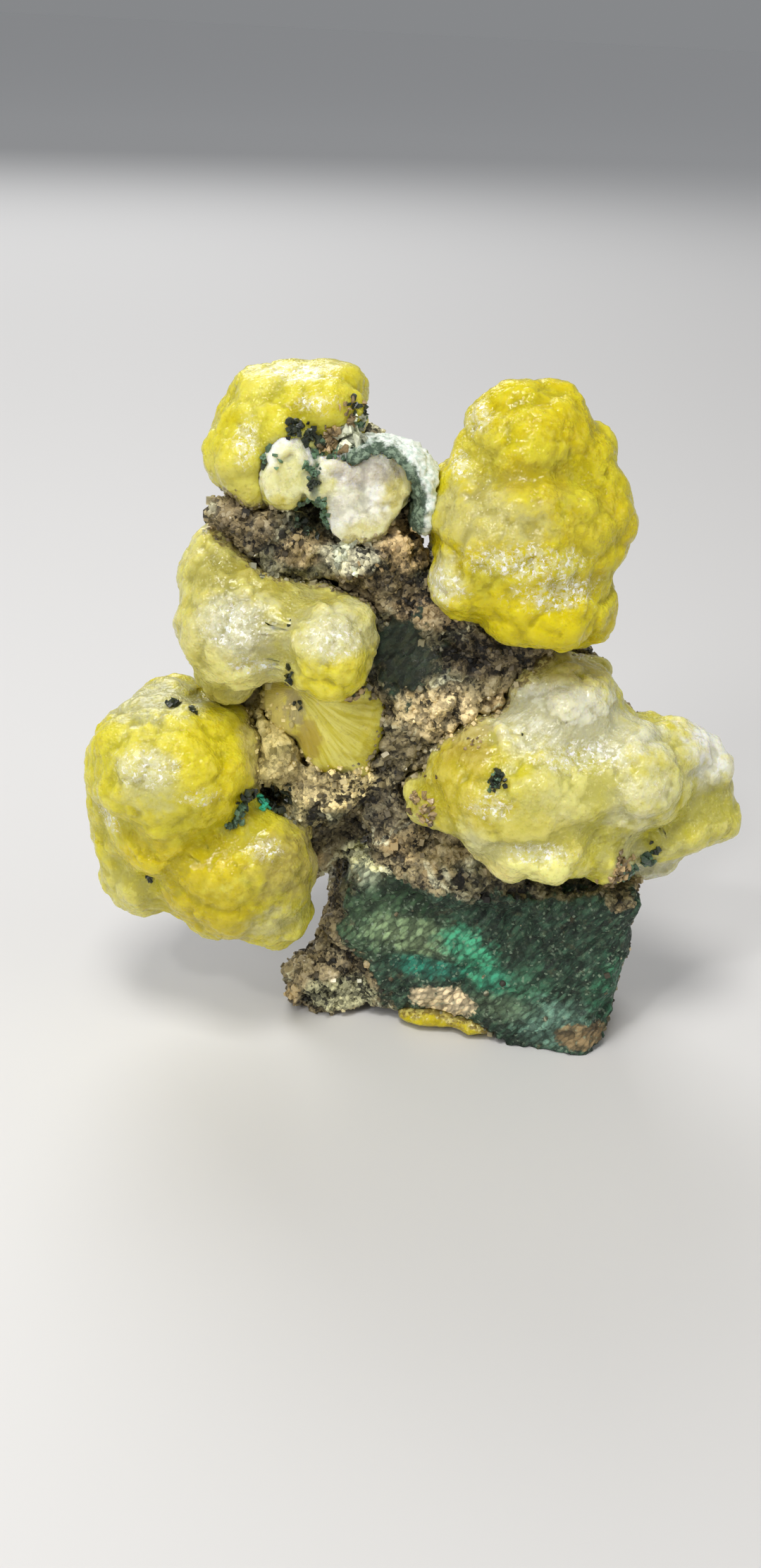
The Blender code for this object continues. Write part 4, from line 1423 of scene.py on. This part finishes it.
def grain_recipe():
    sizes = {label: ("count" if label == "Seed" else "size", value) for label, value in GRAINS.items()}
    tree, given = new_recipe("loose grains", **sizes, Material=("material", None))
    where = tree.nodes.new("GeometryNodeInputPosition").outputs[0]
    spots = wire(tree, "GeometryNodeDistributePointsOnFaces", {
        "Mesh": given["Geometry"], "Seed": given["Seed"],
        "Density": grain_density(tree, where, given["Grains per mm2"])})
    small = maths(tree, "POWER", random_value(tree, "FLOAT", 0.0, 1.0, 3), FEW_COARSE)
    span = maths(tree, "SUBTRACT", given["Most Size"], given["Least Size"])
    size = add_some(tree, small, span, given["Least Size"])
    shape = random_value(tree, "FLOAT_VECTOR", FLATTEST, ROUNDEST, 4)
    turn = random_value(tree, "FLOAT_VECTOR", (0, 0, 0), (FULL_TURN, FULL_TURN, FULL_TURN), 6)
    grains = wire(tree, "GeometryNodeInstanceOnPoints", {
        "Points": spots.outputs["Points"], "Instance": grain_shapes(tree), "Pick Instance": True,
        "Instance Index": random_value(tree, "INT", 0, 1, 8),
        "Rotation": turn, "Scale": scaled(tree, shape, size)})
    tone = random_value(tree, "FLOAT", 0.0, 1.0, 9)
    toned = wire(tree, "GeometryNodeStoreNamedAttribute", {
        "Geometry": grains.outputs[0], "Name": "tone", "Value": tone}, data_type="FLOAT", domain="INSTANCE")
    finish_recipe(tree, toned.outputs[0], given["Material"])
    return tree


# %% [markdown]
# A loose grain is a chip of the same rock, so its finish uses the same colours. It takes
# the tone from the grain instead of from cells, and the palest grains shine the most,
# as calcite does. One small function grows a crop on any mesh, because we need a second
# crop further down.
# %% Grains
def grain_material():
    material, tree, shader, where = new_material("loose_grain")
    tone = stored(tree, "tone")
    tree.links.new(rock_colour(tree, where, tone), shader.inputs["Base Color"])
    tree.links.new(smooth_step(tree, tone, 0.5, 1.0, 0.7, 0.22), shader.inputs["Roughness"])
    set_sockets(shader, {"IOR": STONE["IOR"]})
    return material


GRAIN_FINISH = grain_material()
GRAIN_RECIPE = grain_recipe()
print("nodes in the grain recipe:", len(GRAIN_RECIPE.nodes))


def grow_grains(name, mesh, **sizes):
    """Grains on a mesh, which becomes the grains."""
    piece = new_piece(name, mesh)
    follow_recipe(piece, GRAIN_RECIPE, **sizes, Material=GRAIN_FINISH)
    settle(piece)
    keep_to_box(piece.data)
    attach(piece, "root")
    print(name, triangles_of(piece.data), "triangles")


grow_grains("rock_grains", rock.data.copy(), **GRAINS)

# %% [markdown]
# ## Where the wax meets the rock
# Nature draws no clean line between two minerals. Close to the rock the brucite is
# stained and carries crumbs. So each point of a lump learns how near the rock is: the
# stain in its finish reads that number, and a second crop of grains grows only there.
# On the sandy side of the fan the crumbs go on past the contact.
# %% Contact
CONTACT_REACH = 3.6 * MM
CRUMB_REACH = 0.42
SANDY_SIDE = -20.5 * MM
SANDY_SHARE = 0.4
ROCK_TREE = tree_of([rock])


def nearness(piece, found):
    """For each point, how near the rock is, and how many crumbs may grow there."""
    near, crumbly = np.zeros(len(found), np.float32), np.zeros(len(found), np.float32)
    for i, place in enumerate(found):
        place = Vector(place)
        spot, way, _, apart = ROCK_TREE.find_nearest(place, CONTACT_REACH)
        if spot is not None:
            outside = (place - spot).dot(way) > 0
            near[i] = 1 - apart / CONTACT_REACH if outside else 1.0
            crumbly[i] = max(0.0, (near[i] - CRUMB_REACH) / (1 - CRUMB_REACH)) if outside else 0.0
        if piece.name == "fan_spray" and place.x < SANDY_SIDE:
            crumbly[i] = SANDY_SHARE
    return near, crumbly


def quads_of(mesh):
    """The mesh's faces as rows of four point numbers; a remeshed skin is all quads."""
    corners = np.empty(len(mesh.loops), np.int32)
    mesh.loops.foreach_get("vertex_index", corners)
    return corners.reshape(-1, 4) if len(corners) == 4 * len(mesh.polygons) else None


crumb_points, crumb_shares, crumb_faces, start = [], [], [], 0
for piece in lumps:
    found = points_of(piece.data)
    near, crumbly = nearness(piece, found)
    store(piece.data, "by_rock", near)
    quads = quads_of(piece.data)
    if quads is not None:
        quads = quads[crumbly[quads].min(axis=1) > 0]
        crumb_points.extend(found)
        crumb_shares.extend(crumbly)
        crumb_faces.extend((quads + start).tolist())
        start += len(found)
print("contact faces:", len(crumb_faces))

# %% [markdown]
# The second crop needs the same marks that the rock carries: how open each point is,
# and a height and a block tone, which are the same everywhere here.
# %% Crumbs
CRUMBS = {
    "Grains per mm2": 1.5, "Least Size": 0.24 * MM, "Most Size": 0.8 * MM, "Seed": 11,
}
CRUMB_RELIEF = 0.30
CRUMB_BLOCK = 0.62

contact_mesh = bpy.data.meshes.new("contact")
contact_mesh.from_pydata([tuple(p) for p in crumb_points], [], crumb_faces)
store(contact_mesh, "open", crumb_shares)
store(contact_mesh, "relief", [CRUMB_RELIEF] * len(crumb_points))
store(contact_mesh, "block", [CRUMB_BLOCK] * len(crumb_points))
grow_grains("contact_crumbs", contact_mesh, **CRUMBS)

# %% [markdown]
# ## Small dark crystals
# Crumbs of serpentine stuck to the brucite while it grew. Each is a little heap of
# angular crystals, sunk into the lump under it. A crystal is the hull of nine chance
# points on a squashed ball. The heap's place is given, and the nearest point of the
# skin decides where each crystal really sits. There is one table for each colour: dark,
# green, teal, rusty and minty.
# %% Crystal heaps
CRYSTAL_HEAPS = {  # colour, then for each heap: place in mm, how many, spread, size
    "dark": ((0.018, 0.024, 0.014), [
        ((-22.4, -8.8, 109.1), 34, 1.7, 1.2), ((-20.4, -8.4, 108.4), 26, 1.5, 1.2),
        ((-13.6, -6.2, 112.8), 12, 1.4, 1.2), ((-26.3, -9.1, 103.6), 16, 1.2, 1.1),
        ((-19.1, -12.0, 101.4), 16, 0.9, 0.9), ((-19.5, -9.0, 94.6), 30, 2.2, 1.2),
        ((-19.2, -7.4, 107.2), 24, 1.3, 1.2), ((-41.1, -12.8, 63.8), 12, 1.1, 1.4),
        ((-37.7, -14.7, 63.1), 7, 0.8, 1.1), ((-44.3, -12.6, 36.2), 8, 1.2, 0.9),
        ((-28.6, -17.0, 49.6), 22, 1.8, 1.5), ((-24.2, -9.5, 45.0), 22, 1.8, 1.5),
        ((-22.4, -9.0, 47.2), 10, 1.6, 1.1), ((-20.9, -19.9, 72.7), 10, 0.9, 1.3),
        ((-22.0, -18.6, 80.3), 3, 0.4, 0.6), ((-21.0, -11.7, 64.3), 5, 0.9, 0.9),
        ((12.7, -22.6, 57.5), 26, 1.9, 1.0), ((16.4, -16.8, 62.8), 1, 0.2, 0.5),
        ((40.4, -12.0, 42.0), 10, 1.0, 1.5), ((-11.0, -18.4, 70.3), 8, 1.2, 1.0),
    ]),
    "green": ((0.070, 0.125, 0.072), [
        ((-12.6, -5.0, 110.0), 14, 1.4, 1.3), ((-25.9, -9.1, 105.2), 30, 1.5, 1.2),
        ((-19.1, -12.0, 103.8), 30, 1.3, 1.0), ((-18.2, -12.0, 98.2), 24, 1.1, 0.9),
        ((-19.3, -10.0, 96.2), 44, 2.2, 1.2), ((-19.4, -7.0, 105.4), 44, 1.7, 1.2),
        ((-15.0, -6.6, 105.6), 36, 1.6, 1.2), ((-30.9, -17.8, 45.0), 14, 1.3, 1.6),
        ((-30.0, -17.8, 47.3), 16, 1.5, 1.6), ((12.4, -22.6, 57.2), 12, 1.4, 1.0),
        ((39.4, -12.8, 40.6), 20, 1.6, 1.7), ((36.4, -17.2, 39.4), 18, 1.8, 1.3),
    ]),
    "teal": ((0.03, 0.30, 0.20), [
        ((-26.2, -12.0, 45.6), 10, 1.5, 1.4),
    ]),
    "rust": ((0.24, 0.17, 0.08), [
        ((-15.1, -7.1, 111.7), 16, 1.8, 1.2), ((-1.8, -17.5, 51.0), 40, 3.2, 1.1),
        ((1.0, -18.5, 47.5), 26, 3.0, 1.0), ((-17.0, -7.0, 107.0), 64, 2.2, 1.3),
        ((-9.6, -8.6, 89.8), 26, 3.0, 1.4), ((8.7, -16.9, 61.1), 9, 1.4, 0.7),
        ((-11.5, -18.1, 69.8), 30, 1.6, 1.2), ((34.6, -18.7, 40.2), 40, 2.6, 1.3),
    ]),
    "mint": ((0.44, 0.46, 0.34), [
        ((-12.4, -5.6, 111.6), 10, 1.4, 1.2), ((-14.4, -6.0, 108.8), 26, 1.6, 2.1),
        ((-13.2, -6.4, 107.4), 22, 2.0, 2.2), ((-13.6, -11.0, 90.3), 34, 2.6, 1.5),
    ]),
}
SPREAD_SHARE = 0.5
CRYSTAL_SIZES = (0.4, 0.8)
CRYSTAL_STRETCH = (0.55, 1.0)
CRYSTAL_LIFT = 0.3
HULL_POINTS = 9
chance = np.random.default_rng(41)
WHOLE_TREE = tree_of(lumps + [rock])


def crystal_material(name, tint):
    """Glassy crumbs from dark to light, each with the tone that its own points carry."""
    material, tree, shader, where = new_material(name)
    shade = about_zero(tree, noise(tree, where, 0.6 * MM, 3.0, 0.6))
    tone = maths(tree, "MULTIPLY_ADD", shade, 0.9, stored(tree, "tone"), clamp=True)
    dark, light = tuple(0.45 * c for c in tint), tuple(min(1.0, 2.2 * c) for c in tint)
    tree.links.new(mix(tree, tone, dark, light), shader.inputs["Base Color"])
    gloss = smooth_step(tree, noise(tree, where, 0.5 * MM, 2.0), 0.3, 0.7, 0.2, 0.5)
    tree.links.new(gloss, shader.inputs["Roughness"])
    add_bump(tree, shader, noise(tree, where, 0.25 * MM, 2.0), 0.06, 0.4)
    return material


def chance_direction():
    """A unit vector that points any way."""
    return Vector(chance.normal(0, 1, 3)).normalized()


def add_crystal(work, tone_layer, place, spread, size):
    """One crystal: the hull of chance points on a squashed ball, seated on the nearest skin."""
    aim = Vector(np.array(place) + chance.normal(0, SPREAD_SHARE, 3) * spread) * MM
    seat, way, _, _ = WHOLE_TREE.find_nearest(aim)
    reach = size * chance.uniform(*CRYSTAL_SIZES) * MM
    stretch = Vector(chance.uniform(*CRYSTAL_STRETCH, 3) * reach)
    turn = Matrix.Rotation(chance.uniform(0, FULL_TURN), 3, chance_direction())
    own_tone = chance.uniform(0, 1)
    corners = []
    for _ in range(HULL_POINTS):
        corner = work.verts.new(seat + way * reach * CRYSTAL_LIFT + turn @ (chance_direction() * stretch))
        corner[tone_layer] = own_tone
        corners.append(corner)
    made = bmesh.ops.convex_hull(work, input=corners)
    bmesh.ops.delete(work, geom=made["geom_interior"], context="VERTS")


for tone_name, (tint, heaps) in CRYSTAL_HEAPS.items():
    work = bmesh.new()
    tone_layer = work.verts.layers.float.new("tone")
    for place, count, spread, size in heaps:
        for _ in range(count):
            add_crystal(work, tone_layer, place, spread, size)
    bmesh.ops.recalc_face_normals(work, faces=work.faces)
    mesh = bpy.data.meshes.new(f"{tone_name}_crystals")
    work.to_mesh(mesh)
    work.free()
    mesh.materials.append(crystal_material(f"{tone_name}_crystal", tint))
    crystals = new_piece(f"{tone_name}_crystals", mesh)
    keep_to_box(mesh)
    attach(crystals, "root")
    print(tone_name, "crystals:", triangles_of(mesh), "triangles")

# %% [markdown]
# ## Floor
# The floor is plain and pale. It is the stage, not part of the object. Far from the
# specimen it turns nearly white, so that no edge shows behind it.
# %% Floor
FLOOR_REACH = 14.0
FLOOR_NEAR = (0.66, 0.65, 0.64)
FLOOR_FAR = (0.98, 0.98, 0.98)

floor_mesh = bpy.data.meshes.new("floor")
floor_corners = [(FLOOR_REACH * x, FLOOR_REACH * y, 0) for x, y in ((-1, -1), (1, -1), (1, 1), (-1, 1))]
floor_mesh.from_pydata(floor_corners, [], [(0, 1, 2, 3)])
floor = new_piece("floor", floor_mesh)
floor_paint, floor_tree, floor_shader, floor_where = new_material("pale_floor")
away = smooth_step(floor_tree, length_of(floor_tree, floor_where), 0.5, 2.5)
floor_tree.links.new(mix(floor_tree, away, FLOOR_NEAR, FLOOR_FAR), floor_shader.inputs["Base Color"])
set_sockets(floor_shader, {"Roughness": 0.55})
floor_mesh.materials.append(floor_paint)
floor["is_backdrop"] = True

# %% [markdown]
# ## Light
# Waxy stone needs soft light to show its glow, and a small bright source to make its
# beads glint. So a soft lamp stands overhead, a small one beside it gives the glints, and
# another soft one lights the front from the left. A wide dim lamp fills the right side, and
# a wide strong one lights the back. The sky adds a little everywhere.
# %% Lamps
MIDDLE = (0, 0, 0.06)
SKY = (0.80, 0.82, 0.85, 1)
SKY_STRENGTH = 0.30
LAMPS = [  # name, place in metres, size in metres, power in watts, tint
    ("overhead", (-0.10, -0.42, 1.00), 0.32, 6.2, (1.0, 0.985, 0.96)),
    ("glint", (-0.40, -0.84, 1.00), 0.08, 2.2, (1, 1, 1)),
    ("front_left", (-0.85, -1.10, 0.75), 0.35, 6.2, (1.0, 0.99, 0.98)),
    ("fill", (1.30, -0.50, 0.80), 0.90, 3.0, (1, 1, 1)),
    ("back", (-0.40, 1.10, 0.95), 0.90, 9.0, (1, 1, 1)),
]
for name, place, size, power, tint in LAMPS:
    lamp_data = bpy.data.lights.new(name, "AREA")
    lamp_data.size, lamp_data.energy, lamp_data.color = size, power, tint
    lamp = bpy.data.objects.new(name, lamp_data)
    lamp.location = place
    lamp.rotation_euler = (Vector(MIDDLE) - Vector(place)).to_track_quat("-Z", "Y").to_euler()
    bpy.context.scene.collection.objects.link(lamp)

bpy.context.scene.view_settings.view_transform = "Standard"
world = bpy.data.worlds.new("studio")
bpy.context.scene.world = world
world.use_nodes = True
set_sockets(world.node_tree.nodes["Background"], {"Color": SKY, "Strength": SKY_STRENGTH})
print("lamps:", [name for name, *_ in LAMPS])

# %% [markdown]
# The skins must not make the object larger than its solids. The largest difference
# between the two boxes is printed.
# %% The largest difference between the boxes
LOOK_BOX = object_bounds()
gap = max(abs(a - b) for c, d in zip(CAD_BOX, LOOK_BOX) for a, b in zip(c, d))
print("largest difference between the boxes in mm:", round(gap / MM, 2))
